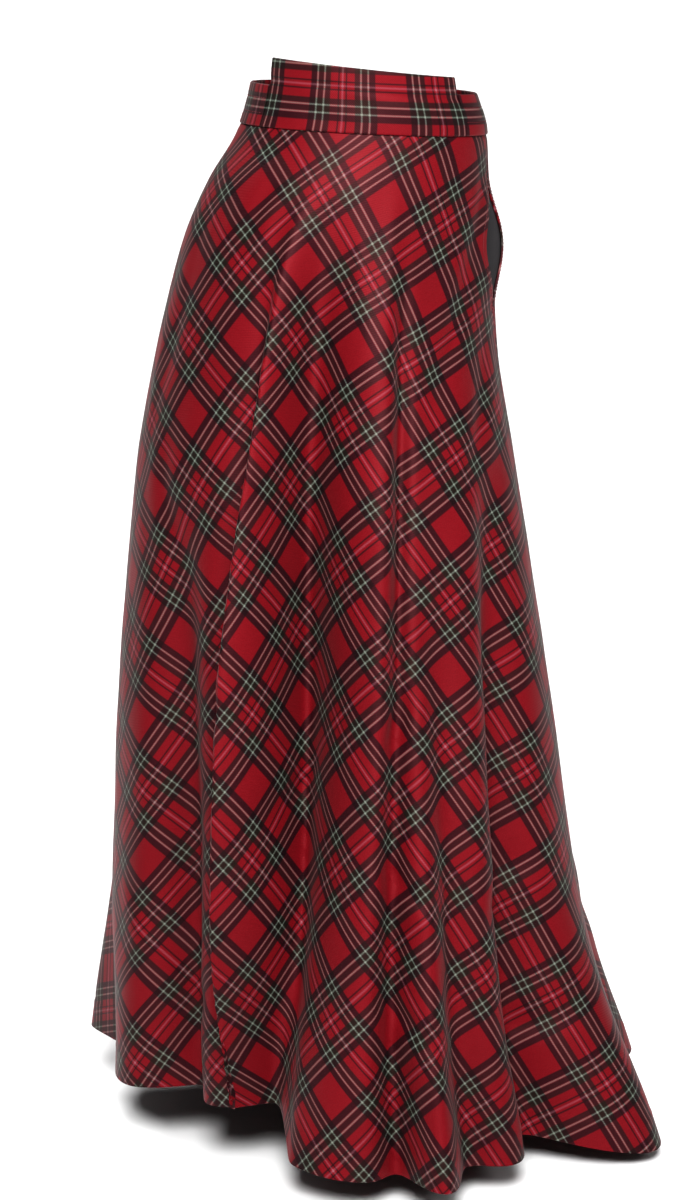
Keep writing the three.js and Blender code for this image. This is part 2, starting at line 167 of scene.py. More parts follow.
HIP_SHARE, MID_SHARE = 0.25, 0.6
FOLDS = [
    Fold("left ridge", -14.5, -22.5, -27, 0.06, 13, 22, 20, 4.5, 7, -1.1),
    Fold("left tuck", -21, -30, -35, 0.12, -4, -14, -16, 6, 4, -0.3),
    Fold("main valley", -4, -9.5, -14, 0.06, -36, -70, -40, 7, 10, 0),
    Fold("lower valley", -8, -12, -22, 0.6, 0, -4, -70, 12, 4.2, 0),
    Fold("front lobe", -2, -2, -10, 0.5, 0, 4, 26, 6, 13, -0.8),
    Fold("front ridge", 19, 13, 5, 0.05, 10, 14, 4, 8, 5, 0),
    Fold("front pinch", 25, 15, 7.5, 0.12, -10, -19, -26, 3, 2.8, 0),
    Fold("front flute", 25, 22, 14, 0.42, 0, 9, 42, 5.2, 5.4, 0.1),
    Fold("flute foot", 32, 27, 22, 0.45, 0, -8, -18, 4, 6, 0),
    Fold("right ridge", 50, 37, 33, 0.12, 2, 7, 8, 8, 7, 0),
    Fold("right valley", 58, 50, 44, 0.3, 0, -32, -52, 7, 8, 0),
    Fold("right corner", 74, 70, 64, 0.55, 0, 3, 48, 10, 13, 0.1),
    Fold("left lower valley", -46, -46, -49, 0.36, 0, -34, -66, 9, 8, 0.1),
    Fold("left seam valley", -92, -94, -93, 0.6, 0, 0, -24, 6, 17, 0),
    Fold("left back flute", -106, -108, -111, 0.55, 0, 6, 38, 8, 7, 0.1),
    Fold("right seam valley", 96, 96, 94, 0.5, 0, -6, -26, 9, 8, 0),
    Fold("back flute 1", 112, 114, 112, 0.3, 0, 12, 38, 8, 9, 0.15),
    Fold("back valley 1", 126, 128, 129, 0.26, 0, -14, -34, 8, 7, 0),
    Fold("back flute 2", 144, 145, 147, 0.2, 2, 17, 46, 9, 8, -0.15),
    Fold("back valley 2", 163, 163, 164, 0.34, 0, -12, -30, 7, 9, 0),
    Fold("back flute 3", 180, 181, 183, 0.42, 0, 10, 36, 9, 7, 0.1),
    Fold("back valley 3", 196, 198, 199, 0.22, -2, -19, -40, 6, 8, 0),
    Fold("back flute 4", 213, 214, 215, 0.16, 4, 18, 44, 8, 10, 0.2),
    Fold("back valley 4", 230, 231, 232, 0.38, 0, -12, -28, 8, 7, 0),
]


class SeamPlace(NamedTuple):
    z: float
    azimuth: float


RIGHT_SEAM = [
    SeamPlace(-1040, 91),
    SeamPlace(-600, 91),
    SeamPlace(-350, 88),
    SeamPlace(-260, 82),
    SeamPlace(-150, 77),
    SeamPlace(-80, 80),
    SeamPlace(-25, 85),
]


class BagRing(NamedTuple):
    """One ring of the pocket bag: share of its length, heights of its top and bottom, how far apart
    its leaves are, and how much of the mouth's width is left."""
    share: float
    top: float
    bottom: float
    apart: float
    spread: float


BAG_RINGS = [
    BagRing(0, -80, -204, 0, 1),
    BagRing(0.22, -76, -222, 17, 0.35),
    BagRing(0.5, -72, -248, 18, 0.1),
    BagRing(0.8, -80, -252, 14, 0),
    BagRing(0.95, -104, -236, 9, 0),
    BagRing(1, -140, -200, 4, 0),
]


class Crease(NamedTuple):
    """A small soft trough or ridge laid from one place to another. Out is below zero in a trough,
    half_width is across it in millimetres, and bow bends its middle sideways in millimetres."""
    from_azimuth: float
    from_share: float
    to_azimuth: float
    to_share: float
    out: float
    half_width: float
    bow: float


CREASES = [
    Crease(70, 0.035, 46, 0.16, -1.6, 9, 6),
    Crease(66, 0.10, 34, 0.27, -2.0, 11, -8),
    Crease(64, 0.20, 40, 0.36, -2.2, 12, 10),
    Crease(-30, 0.03, -44, 0.15, -1.4, 9, 4),
    Crease(-14, 0.04, -20, 0.18, 1.4, 10, 5),
    Crease(8, 0.05, 14, 0.2, 1.2, 9, -4),
    Crease(-62, 0.1, -70, 0.34, -2.0, 13, 8),
    Crease(-58, 0.3, -44, 0.46, -2.4, 12, -10),
    Crease(-36, 0.52, -20, 0.6, -2.6, 9, 6),
    Crease(-4, 0.6, -18, 0.69, -2.4, 8, -5),
    Crease(24, 0.5, 9, 0.6, -2.0, 8, 5),
    Crease(9, 0.68, 27, 0.76, -2.2, 8, -6),
    Crease(8, 0.82, 20, 0.9, -2.6, 8, 5),
    Crease(34, 0.78, 58, 0.7, -2.0, 12, 7),
    Crease(40, 0.9, 62, 0.84, -2.4, 11, -6),
    Crease(-64, 0.78, -48, 0.9, -2.8, 11, 6),
    Crease(-36, 0.86, -52, 0.97, -2.2, 10, -6),
    Crease(112, 0.12, 128, 0.26, -2.0, 11, 6),
    Crease(140, 0.1, 132, 0.24, 1.6, 10, -5),
    Crease(170, 0.14, 158, 0.3, -2.0, 12, 7),
    Crease(206, 0.1, 192, 0.24, -1.8, 11, -6),
    Crease(240, 0.12, 252, 0.3, -2.0, 12, 6),
    Crease(120, 0.5, 136, 0.6, -2.4, 11, -7),
    Crease(172, 0.56, 156, 0.66, -2.2, 11, 6),
    Crease(222, 0.52, 238, 0.63, -2.4, 11, -6),
    Crease(186, 0.78, 172, 0.88, -2.6, 11, 5),
    Crease(246, 0.74, 230, 0.86, -2.4, 11, 6),
    Crease(104, 0.76, 118, 0.88, -2.4, 10, -5),
]


class Stripe(NamedTuple):
    """A stripe of the check, which ends at a share of a half repeat."""
    end: float
    colour: str


# The check, from the middle of its wide red stripe to the middle of its rose line, and then back
STRIPES = [
    Stripe(0.325, "red"),
    Stripe(0.456, "navy"),
    Stripe(0.490, "pale"),
    Stripe(0.606, "green"),
    Stripe(0.640, "pale"),
    Stripe(0.755, "green"),
    Stripe(0.905, "red"),
    Stripe(0.940, "navy"),
    Stripe(0.980, "red"),
    Stripe(1.000, "rose"),
]
STRIPE_SOFTNESS = 0.011
# How far brushing blends each colour with the threads it crosses: the pale ones stay apart and show
BLENDED = {"red": 0.97, "navy": 0.97, "green": 0.97, "pale": 0.2, "rose": 0.45}


def linear(red, green, blue):
    """Screen colour from 0 to 255 as the linear colour that Blender works in."""
    def one(value):
        share = value / 255
        return share / 12.92 if share <= 0.04045 else ((share + 0.055) / 1.055) ** 2.4
    return (one(red), one(green), one(blue))


def colour_setting(name, description, colour):
    return FloatVectorProperty(
        name=name, description=description, size=3, subtype="COLOR", default=colour, min=0, max=1)


class SkirtCheckSettings(bpy.types.PropertyGroup):
    """Sizes and colours of the woven check."""
    repeat: FloatProperty(
        name="Repeat", description="Width of one repeat of the check, as woven",
        default=0.0985, min=0.01, max=0.5, unit="LENGTH")
    bias: FloatProperty(
        name="Bias", description="Slope of the lengthwise threads on the laid-out front panel",
        default=math.radians(48.9), min=0.0, max=math.radians(90), subtype="ANGLE")
    drop: FloatProperty(
        name="Drop", description="How far the bias cloth has stretched downwards in wear",
        default=1.034, min=1.0, max=1.3, subtype="FACTOR")
    draw_in: FloatProperty(
        name="Draw in", description="How far the bias cloth has narrowed as it stretched",
        default=0.964, min=0.7, max=1.0, subtype="FACTOR")
    red: colour_setting("Red", "Ground colour", linear(100, 9, 21))
    navy: colour_setting("Navy", "Blue-black stripe", linear(5, 6, 10))
    green: colour_setting("Green", "Green-black stripe", linear(7, 20, 15))
    pale: colour_setting("Pale", "Pale line of the pair", linear(108, 118, 109))
    rose: colour_setting("Rose", "Single line through the red", linear(130, 82, 90))


class SkirtClothSettings(bpy.types.PropertyGroup):
    """Fineness of the cloth and how creased it is."""
    rows: IntProperty(
        name="Rows", description="Rows of a skirt panel from waist to hem", default=180, min=40, max=260)
    columns: IntProperty(
        name="Columns", description="Columns of a skirt panel from seam to seam", default=236, min=40,
        max=300)
    creasing: FloatProperty(
        name="Creasing", description="Strength of the small creases", default=1.0, min=0.0, max=2.0,
        subtype="FACTOR")
    nap: FloatProperty(
        name="Nap", description="Sheen of the brushed face", default=0.05, min=0.0, max=1.0,
        subtype="FACTOR")


class SkirtStitchSettings(bpy.types.PropertyGroup):
    """Sewing thread."""
    length: FloatProperty(
        name="Stitch length", description="Length of one stitch", default=0.0026, min=0.001,
        max=0.01, unit="LENGTH")
    pitch: FloatProperty(
        name="Pitch", description="From the start of one stitch to the next", default=0.0034,
        min=0.001, max=0.02, unit="LENGTH")
    radius: FloatProperty(
        name="Thread radius", description="Half the thickness of the thread", default=0.00028,
        min=0.0001, max=0.001, unit="LENGTH")
    colour: colour_setting("Thread colour", "Colour of the sewing thread", linear(92, 16, 26))


class SkirtStageSettings(bpy.types.PropertyGroup):
    """Floor, light and camera."""
    floor: FloatProperty(
        name="Floor height", description="Height of the floor", default=-1.048, unit="LENGTH")
    floor_colour: colour_setting("Floor colour", "Colour of the floor", (0.86, 0.86, 0.86))
    key: FloatProperty(
        name="Key light", description="Strength of the wide light from the front", default=2.45,
        min=0.0)
    fill: FloatProperty(
        name="Fill light", description="Strength of the wide light from the right", default=0.3,
        min=0.0)
    rear: FloatProperty(
        name="Rear light", description="Strength of the wide light from behind", default=1.3,
        min=0.0)
    top: FloatProperty(
        name="Top light", description="Power of the light above the front", default=36.0, min=0.0,
        unit="POWER")
    room: FloatProperty(
        name="Room light", description="Strength of the light from all round", default=0.12, min=0.0,
        max=2.0)
    lens: FloatProperty(
        name="Lens", description="Focal length over a 36 mm high frame, in millimetres",
        default=90.69, min=20.0, max=300.0)


def through_points(xs, ys, x):
    """Smooth value at each x through the points xs, ys, with no overshoot between them."""
    xs, ys = np.asarray(xs, float), np.asarray(ys, float)
    slopes = np.diff(ys) / np.diff(xs)
    product = slopes[:-1] * slopes[1:]
    same_way = product > 0
    total = np.where(same_way, slopes[:-1] + slopes[1:], 1)
    inner = np.where(same_way, 2 * product / total, 0)
    tangents = np.concatenate([slopes[:1], inner, slopes[-1:]])
    at = np.clip(x, xs[0], xs[-1])
    k = np.clip(np.searchsorted(xs, at, side="left") - 1, 0, len(xs) - 2)
    width = xs[k + 1] - xs[k]
    t = (at - xs[k]) / width
    rise = tangents[k] * width * t * (1 - t) ** 2 - tangents[k + 1] * width * t * t * (1 - t)
    return ys[k] * (1 + 2 * t) * (1 - t) ** 2 + ys[k + 1] * t * t * (3 - 2 * t) + rise


def from_table(rows, key, column, x):
    """Column of a table at x, where the rows are in rising order of the key."""
    return through_points([getattr(r, key) for r in rows], [getattr(r, column) for r in rows], x)


def near_turn(angle, centre):
    return angle - 360 * np.round((angle - centre) / 360)


def smoothstep(low, high, x):
    t = np.clip((x - low) / (high - low), 0, 1)
    return t * t * (3 - 2 * t)


def mound(distance, half_width):
    """Soft round rise: one at its middle, and near nothing two half-widths away."""
    return np.exp(-((distance / half_width) ** 2))


def unit(vectors):
    return vectors / np.linalg.norm(vectors, axis=-1, keepdims=True)


def lengths_along(points):
    """Distance from the first point to each point of a path, or of each row of a grid."""
    steps = np.linalg.norm(np.diff(points, axis=-2), axis=-1)
    start = np.zeros((*steps.shape[:-1], 1))
    return np.concatenate([start, np.cumsum(steps, axis=-1)], axis=-1)


def half_width_at(z):
    return (from_table(SECTIONS, "z", "right", z) - from_table(SECTIONS, "z", "left", z)) / 2


def hem_height(azimuth):
    first, last = HEM_HEIGHTS[0], HEM_HEIGHTS[-1]
    before, after = HemHeight(last.azimuth - 360, last.z), HemHeight(first.azimuth + 360, first.z)
    return from_table([before, *HEM_HEIGHTS, after], "azimuth", "z", near_turn(azimuth, 30))


def waist_height(azimuth):
    return WAIST_Z - WAIST_TILT * WAIST_REACH * np.sin(np.radians(azimuth))


def skirt_height(azimuth, share):
    top = waist_height(azimuth) - SEAM_GAP
    return top + (hem_height(azimuth) - top) * share


def share_at_height(azimuth, z):
    top = waist_height(azimuth) - SEAM_GAP
    return (z - top) / (hem_height(azimuth) - top)


def oval(azimuth, z):
    """Plain oval of the skirt: points on it, with its sideways and outward directions."""
    left, right, front, back = (
        from_table(SECTIONS, "z", side, z) for side in ("left", "right", "front", "back"))
    half_width, half_depth = (right - left) / 2, (back - front) / 2
    sine, cosine = np.sin(np.radians(azimuth)), np.cos(np.radians(azimuth))
    x = (left + right) / 2 + half_width * sine
    y = (front + back) / 2 - half_depth * cosine
    along = np.stack([half_width * cosine, half_depth * sine, np.zeros_like(x)], axis=-1)
    along = unit(along)
    out = np.stack([along[..., 1], -along[..., 0], np.zeros_like(x)], axis=-1)
    return np.stack([x, y, np.broadcast_to(z, x.shape)], axis=-1), along, out


def fold_out(fold, azimuth, share):
    """How far one fold moves the cloth out."""
    centre = through_points([HIP_SHARE, MID_SHARE, 1], [fold.hip, fold.mid, fold.hem], share)
    middle = max(MID_SHARE, fold.start + FOLD_MIDDLE_GAP)
    places, depths = [fold.start, middle, 1], [0, fold.mid_out, fold.hem_out]
    if fold.start < HIP_SHARE:
        places.insert(1, HIP_SHARE)
        depths.insert(1, fold.hip_out)
    depth = through_points(places, depths, share)
    away = near_turn(azimuth, centre) - centre
    return depth * mound(away, np.where(away < 0, fold.before, fold.after))


def gather_wave(azimuth, count=GATHERS):
    """Share of the gathers' height: full behind, and none in front of the side seams."""
    turn = near_turn(azimuth, 180)
    place = (turn - GATHER_START) / (360 - 2 * GATHER_START)
    inside = np.minimum(turn - GATHER_START, 360 - GATHER_START - turn)
    strength = smoothstep(0, GATHER_FADE_ANGLE, inside)
    uneven = 1 - GATHER_UNEVEN + GATHER_UNEVEN * np.sin(place * GATHER_UNEVEN_WAVES + 1)
    shift = GATHER_SHIFT * np.sin(place * GATHER_SHIFT_WAVES)
    wave = np.sin(2 * np.pi * (count * place + shift))
    return strength * uneven * wave


def mouth_open(z):
    place = np.clip((z - POCKET_BOTTOM) / (POCKET_TOP - POCKET_BOTTOM), 0, 1)
    return np.sin(np.pi * place) ** 2


def seam_front(z):
    return from_table(RIGHT_SEAM, "z", "azimuth", z) - MOUTH_FRONT_ANGLE * mouth_open(z)


def seam_back(z):
    return from_table(RIGHT_SEAM, "z", "azimuth", z) + MOUTH_BACK_ANGLE * mouth_open(z)


def skirt_surface(azimuth, share):
    """Outer face of the skirt."""
    azimuth, share = np.broadcast_arrays(np.asarray(azimuth, float), np.asarray(share, float))
    z = skirt_height(azimuth, share)
    point, along, out = oval(azimuth, z)
    outward, sideways = np.zeros_like(z), np.zeros_like(z)
    for fold in FOLDS:
        move = fold_out(fold, azimuth, share)
        outward += move
        sideways += move * fold.lean
    from_mouth = near_turn(azimuth, seam_back(z)) - seam_back(z)
    outward += MOUTH_BULGE * mouth_open(z) * mound(from_mouth, MOUTH_BULGE_ANGLE)
    fading = np.maximum(0, 1 - share / GATHER_RUN) ** 2
    outward += GATHER_RISE * gather_wave(azimuth) * fading
    return point + out * outward[..., None] + along * sideways[..., None]


def grid_normals(points):
    """Outward unit directions of a grid whose rows go down and whose columns go round."""
    return unit(np.cross(np.gradient(points, axis=0), np.gradient(points, axis=1)))


# Ends of a crease: share of its wave left out at each end, and how sharply it rises from them
CREASE_END = 0.08
CREASE_RISE = 1.2
# Shoulders beside a crease: how high, and how many of its half-widths away
SHOULDER = 0.3
SHOULDER_AWAY = 2


def crease_height(azimuth, share):
    """How far the small creases move the cloth out, with a soft shoulder beside each trough."""
    z = skirt_height(azimuth, share)
    per_degree = np.radians(half_width_at(z))
    length = -hem_height(azimuth) + WAIST_Z
    total = np.zeros_like(z)
    for crease in CREASES:
        middle = (crease.from_azimuth + crease.to_azimuth) / 2
        turn = near_turn(azimuth, middle)
        x = (turn - crease.from_azimuth) * per_degree
        y = (share - crease.from_share) * length
        end_x = (crease.to_azimuth - crease.from_azimuth) * per_degree
        end_y = (crease.to_share - crease.from_share) * length
        run = np.hypot(end_x, end_y)
        along = (x * end_x + y * end_y) / (run * run)
        across = (x * end_y - y * end_x) / run
        inside = np.clip(along, 0, 1)
        across = across - crease.bow * np.sin(np.pi * inside)
        beyond = (along - inside) * run
        window = np.sin(np.pi * (CREASE_END + (1 - 2 * CREASE_END) * inside)) ** CREASE_RISE
        fade = window * mound(beyond, crease.half_width)
        trough = mound(across, crease.half_width)
        shoulder = mound(np.abs(across) - SHOULDER_AWAY * crease.half_width, crease.half_width)
        total += crease.out * fade * (trough - SHOULDER * shoulder)
    return total


class Slack(NamedTuple):
    """A slow wave of the cloth: its height, waves round and down and where it starts. A second wave
    down the cloth breaks it up, and sways sideways with waves of its own."""
    height: float
    around: float
    down: float
    start: float
    broken: float
    sway: float
    sway_around: float
    sway_start: float


SLACKS = [
    Slack(0.8, 5, 9, 1.3, 14, 2, 3, 0),
    Slack(0.5, 11, -17, 0.4, 23, 1.5, 4, 1),
    Slack(0.25, 23, 21, 2.2, 41, 2.4, 7, 0),
]
SLACK_BEGINS, SLACK_FULL = 0.01, 0.1


def slack_height(azimuth, share):
    """Slow unevenness of hanging wool cloth, under a millimetre and a half."""
    turn = np.radians(azimuth)
    total = np.zeros_like(turn)
    for slack in SLACKS:
        wave = np.sin(slack.around * turn + slack.down * share + slack.start)
        sway = slack.sway * np.sin(slack.sway_around * turn + slack.sway_start)
        total += slack.height * wave * np.sin(slack.broken * share + sway)
    return total * smoothstep(SLACK_BEGINS, SLACK_FULL, share)


class Panel(NamedTuple):
    """A skirt panel as a grid: rows go down from the waist seam and columns go round."""
    share: np.ndarray
    outer: np.ndarray
    inner: np.ndarray
    normals: np.ndarray
    flat_across: np.ndarray
    flat_up: np.ndarray


HEM_SHARE = 1 - HEM_TURN / (WAIST_Z - float(hem_height(0)))
HEM_STEP_SHARE = 0.0012
HEM_ROWS = 8


def turned_up(share):
    """Whether the cloth is double here, with its hem turned up inside."""
    return share > HEM_SHARE + HEM_STEP_SHARE / 2


def panel_shares(rows):
    """Shares of the rows, with a pair close together where the turned-up hem ends inside."""
    body = np.linspace(0, HEM_SHARE, rows - HEM_ROWS)
    return np.concatenate([body, np.linspace(HEM_SHARE + HEM_STEP_SHARE, 1, HEM_ROWS)])


# Dips and ridges that sewing leaves in a panel: how far out, and half-width. The hem's dip lies
# just above its ridge, where the turned-up cloth ends
SEAM_DIP, SEAM_DIP_WIDTH = -0.9, 3.2
WAIST_DIP, WAIST_DIP_WIDTH = -0.9, 3.5
HEM_RIDGE, HEM_RIDGE_WIDTH = 0.35, 2.2
HEM_DIP, HEM_DIP_WIDTH, HEM_DIP_ABOVE = -0.4, 2.6, 4
# Width beside a seam over which creases fade out, and the stretch of azimuth round the pocket mouth
CREASES_FADE = 12
MOUTH_AZIMUTH, MOUTH_REACH = 80, 30
# Radius of the waist edge of each panel as cut
WAIST_RADIUS = 371


def sewn_relief(from_side, down, in_mouth):
    """How far the sewing of the seams, the waist and the hem moves a panel's face out."""
    from_hem = down[-1:] - down - HEM_TURN
    seam_dip = SEAM_DIP * mound(from_side, SEAM_DIP_WIDTH) * (1 - in_mouth)
    waist_dip = WAIST_DIP * mound(down, WAIST_DIP_WIDTH)
    hem_ridge = HEM_RIDGE * mound(from_hem, HEM_RIDGE_WIDTH)
    hem_dip = HEM_DIP * mound(from_hem - HEM_DIP_ABOVE, HEM_DIP_WIDTH)
    return seam_dip + waist_dip + hem_ridge + hem_dip


def make_panel(from_edge, to_edge, middle, cloth):
    """Panel between two edges, given as azimuths by height. Its flat pattern is part of a ring
    whose inner edge has the waist radius, laid out round the azimuth of its middle."""
    columns = cloth.columns
    share = panel_shares(cloth.rows)[:, None]
    start = from_edge(skirt_height(from_edge(np.array(float(WAIST_Z))), share))
    end = to_edge(skirt_height(to_edge(np.array(float(WAIST_Z))), share))
    samples = start + (end - start) * np.linspace(0, 1, ROW_SAMPLES + 1)[None, :]
    lengths = lengths_along(skirt_surface(samples, share))
    azimuth = np.empty((len(share), columns + 1))
    along = np.empty_like(azimuth)
    for j, row in enumerate(lengths):
        goals = np.linspace(0, row[-1], columns + 1)
        azimuth[j] = np.interp(goals, row, samples[j])
        along[j] = goals - np.interp(middle, samples[j], row)
    plain = skirt_surface(azimuth, share)
    z = skirt_height(azimuth, share)
    slant = np.linalg.norm(oval(azimuth[:-1], z[1:])[0] - oval(azimuth[:-1], z[:-1])[0], axis=-1)
    down = np.concatenate([np.zeros((1, columns + 1)), np.cumsum(slant, axis=0)], axis=0)
    radius = WAIST_RADIUS + down
    from_side = np.minimum(along - along[:, :1], along[:, -1:] - along)
    from_mouth = np.abs(near_turn(azimuth, MOUTH_AZIMUTH) - MOUTH_AZIMUTH)
    in_mouth = mouth_open(z) * (from_mouth < MOUTH_REACH)
    worn = cloth.creasing * (crease_height(azimuth, share) + slack_height(azimuth, share))
    relief = worn * smoothstep(0, CREASES_FADE, from_side)
    relief = relief + sewn_relief(from_side, down, in_mouth)
    outer = plain + grid_normals(plain) * relief[..., None]
    normals = grid_normals(outer)
    thickness = np.where(turned_up(share), HEM_CLOTH, CLOTH)
    inner = outer - normals * thickness[..., None]
    flat_across = radius * np.sin(along / radius)
    flat_up = WAIST_RADIUS - radius * np.cos(along / radius)
    return Panel(share, outer, inner, normals, flat_across, flat_up)


def gap_angle(z):
    """Half of the gap between two panels, as an angle."""
    return np.degrees(SEAM_GAP / half_width_at(z))


def front_panel(cloth):
    return make_panel(
        lambda z: LEFT_SEAM + gap_angle(z), lambda z: seam_front(z) - gap_angle(z), 0, cloth)


def back_panel(cloth):
    return make_panel(
        lambda z: seam_back(z) + gap_angle(z), lambda z: 360 + LEFT_SEAM - gap_angle(z), 180, cloth)


def bias_threads(panel, check, phase):
    """Place of each point in repeats of the check, along the two sets of threads, which lie across
    the panel's length and have shifted towards it as the cloth hung."""
    across = panel.flat_across / check.draw_in
    up = panel.flat_up / check.drop
    repeat = check.repeat / MM
    sine, cosine = math.sin(check.bias), math.cos(check.bias)
    lengthwise = (across * sine + up * cosine) / repeat + phase[0]
    crosswise = (up * sine - across * cosine) / repeat + phase[1]
    return np.stack([lengthwise, crosswise], axis=-1)


def mesh_object(name, vertices, faces, coordinates, material, smooth_angle=40):
    """Mesh in metres from points in millimetres, with its place in the check as its map."""
    mesh = bpy.data.meshes.new(name)
    mesh.from_pydata((vertices * MM).tolist(), [], faces)
    mesh.validate()
    if coordinates is not None:
        layer = mesh.uv_layers.new(name="Threads")
        corners = np.empty(len(mesh.loops), int)
        mesh.loops.foreach_get("vertex_index", corners)
        layer.data.foreach_set("uv", coordinates[corners].astype(np.float32).ravel())
    mesh.shade_smooth()
    mesh.set_sharp_from_angle(angle=math.radians(smooth_angle))
    mesh.materials.append(material)
    piece = bpy.data.objects.new(name, mesh)
    bpy.context.scene.collection.objects.link(piece)
    return piece


def grid_quads(rows, columns, first=0, flip=False):
    """Corner numbers of every square of a grid of points laid out row by row."""
    corner = first + np.arange(rows * columns).reshape(rows, columns)
    a, b, c, d = corner[:-1, :-1], corner[1:, :-1], corner[1:, 1:], corner[:-1, 1:]
    order = (a, d, c, b) if flip else (a, b, c, d)
    return np.stack(order, axis=-1).reshape(-1, 4)


def cloth_wall(name, outer, inner, threads, material):
    """Closed wall of cloth between an outer and an inner grid of points."""
    rows, columns = outer.shape[:2]
    number = np.arange(rows * columns).reshape(rows, columns)
    under = number + rows * columns
    parts = [grid_quads(rows, columns), grid_quads(rows, columns, rows * columns, flip=True)]
    for edge, beneath in (
            (number[0, ::-1], under[0, ::-1]), (number[-1], under[-1]),
            (number[:, 0], under[:, 0]), (number[::-1, -1], under[::-1, -1])):
        parts.append(np.stack([edge[:-1], beneath[:-1], beneath[1:], edge[1:]], axis=-1))
    faces = np.concatenate(parts).tolist()
    vertices = np.concatenate([outer.reshape(-1, 3), inner.reshape(-1, 3)])
    coordinates = np.concatenate([threads.reshape(-1, 2)] * 2)
    return mesh_object(name, vertices, faces, coordinates, material)


class Shader:
    """A material's node tree, with one short call for each kind of node."""

    def __init__(self, name):
        self.material = bpy.data.materials.new(name)
        self.material.use_nodes = True
        self.tree = self.material.node_tree
        self.surface = self.tree.nodes["Principled BSDF"]

    def node(self, kind, **settings):
        made = self.tree.nodes.new(kind)
        for key, value in settings.items():
            setattr(made, key, value)
        return made

    def link(self, source, target):
        self.tree.links.new(source, target)

    def set_surface(self, values):
        """Numbers and colours that are the same all over the surface, by the name of their socket."""
        for name, value in values.items():
            self.surface.inputs[name].default_value = value

    def math(self, operation, *values):
        made = self.node("ShaderNodeMath", operation=operation)
        for socket, value in zip(made.inputs, values):
            if isinstance(value, (int, float)):
                socket.default_value = value
            else:
                self.link(value, socket)
        return made.outputs[0]

    def mix(self, blend, share, first, second):
        made = self.node("ShaderNodeMix", data_type="RGBA", blend_type=blend)
        for socket, value in zip((made.inputs[0], made.inputs[6], made.inputs[7]),
                                 (share, first, second)):
            if isinstance(value, (int, float, tuple)):
                socket.default_value = value
            else:
                self.link(value, socket)
        return made.outputs[2]

    def noise(self, scale, detail=2.0):
        made = self.node("ShaderNodeTexNoise")
        made.inputs["Scale"].default_value = scale
        made.inputs["Detail"].default_value = detail
        place = self.node("ShaderNodeTexCoord")
        self.link(place.outputs["Object"], made.inputs["Vector"])
        return made.outputs["Fac"]

    def bump(self, height, strength, distance, below=None):
        made = self.node("ShaderNodeBump")
        made.inputs["Strength"].default_value = strength
        made.inputs["Distance"].default_value = distance
        self.link(height, made.inputs["Height"])
        if below is not None:
            self.link(below, made.inputs["Normal"])
        return made.outputs["Normal"]


def stripe_ramp(shader, check, place):
    """Colours of one set of threads by its place in the repeat, and how far each is blended."""
    colours = {name: (*getattr(check, name), blended) for name, blended in BLENDED.items()}
    half = shader.math("MULTIPLY", shader.math("PINGPONG", place, 0.5), 2.0)
    made = shader.node("ShaderNodeValToRGB")
    ramp = made.color_ramp
    ramp.interpolation = "LINEAR"
    ramp.elements[0].position = 0.0
    ramp.elements[0].color = colours[STRIPES[0].colour]
    ramp.elements[1].position = 1.0
    ramp.elements[1].color = colours[STRIPES[-1].colour]
    for stripe, following in zip(STRIPES[:-1], STRIPES[1:]):
        ramp.elements.new(stripe.end - STRIPE_SOFTNESS).color = colours[stripe.colour]
        ramp.elements.new(stripe.end + STRIPE_SOFTNESS).color = colours[following.colour]
    shader.link(half, made.inputs["Fac"])
    return made.outputs["Color"], made.outputs["Alpha"]


# Two threads up and two down: ribs of the twill in one repeat of the check, and how far a rib
# changes the share in which its two threads show
TWILL_RIBS = 44
RIB_CONTRAST = 0.16


def wool_check(name, check, nap):
    """Brushed wool twill in the check, with both sets of threads showing about evenly."""
    shader = Shader(name)
    threads = shader.node("ShaderNodeUVMap", uv_map="Threads")
    parts = shader.node("ShaderNodeSeparateXYZ")
    shader.link(threads.outputs["UV"], parts.inputs["Vector"])
    lengthwise, crosswise = parts.outputs["X"], parts.outputs["Y"]
    first, first_blended = stripe_ramp(shader, check, lengthwise)
    second, second_blended = stripe_ramp(shader, check, crosswise)
    blended = shader.math("MULTIPLY", first_blended, second_blended)
    diagonal = shader.math("ADD", lengthwise, crosswise)
    rib = shader.math("SINE", shader.math("MULTIPLY", diagonal, 2 * math.pi * TWILL_RIBS))
    over = shader.math("MULTIPLY_ADD", rib, RIB_CONTRAST, 0.5)
    side_by_side = shader.mix("MIX", over, first, second)
    both = shader.node("ShaderNodeGamma")
    both.inputs["Gamma"].default_value = 0.5
    shader.link(shader.mix("MULTIPLY", 1.0, first, second), both.inputs["Color"])
    woven = shader.mix("MIX", blended, side_by_side, both.outputs["Color"])
    fleck = shader.math("MULTIPLY_ADD", shader.noise(900.0), 0.34, 0.83)
    cloud = shader.math("MULTIPLY_ADD", shader.noise(14.0, 3.0), 0.22, 0.89)
    shade = shader.math("MULTIPLY", fleck, cloud)
    shader.link(shader.mix("MULTIPLY", 1.0, woven, shade), shader.surface.inputs["Base Color"])
    fuzz = shader.bump(shader.noise(1400.0, 3.0), 0.22, 0.0004)
    shader.link(shader.bump(rib, 0.16, 0.0003, fuzz), shader.surface.inputs["Normal"])
    shader.set_surface({
        "Roughness": 0.58,
        "Specular IOR Level": 0.42,
        "Specular Tint": (1.0, 0.36, 0.38, 1.0),
        "Sheen Weight": nap,
        "Sheen Roughness": 0.5,
        "Sheen Tint": (1.0, 0.82, 0.8, 1.0),
    })
    return shader.material


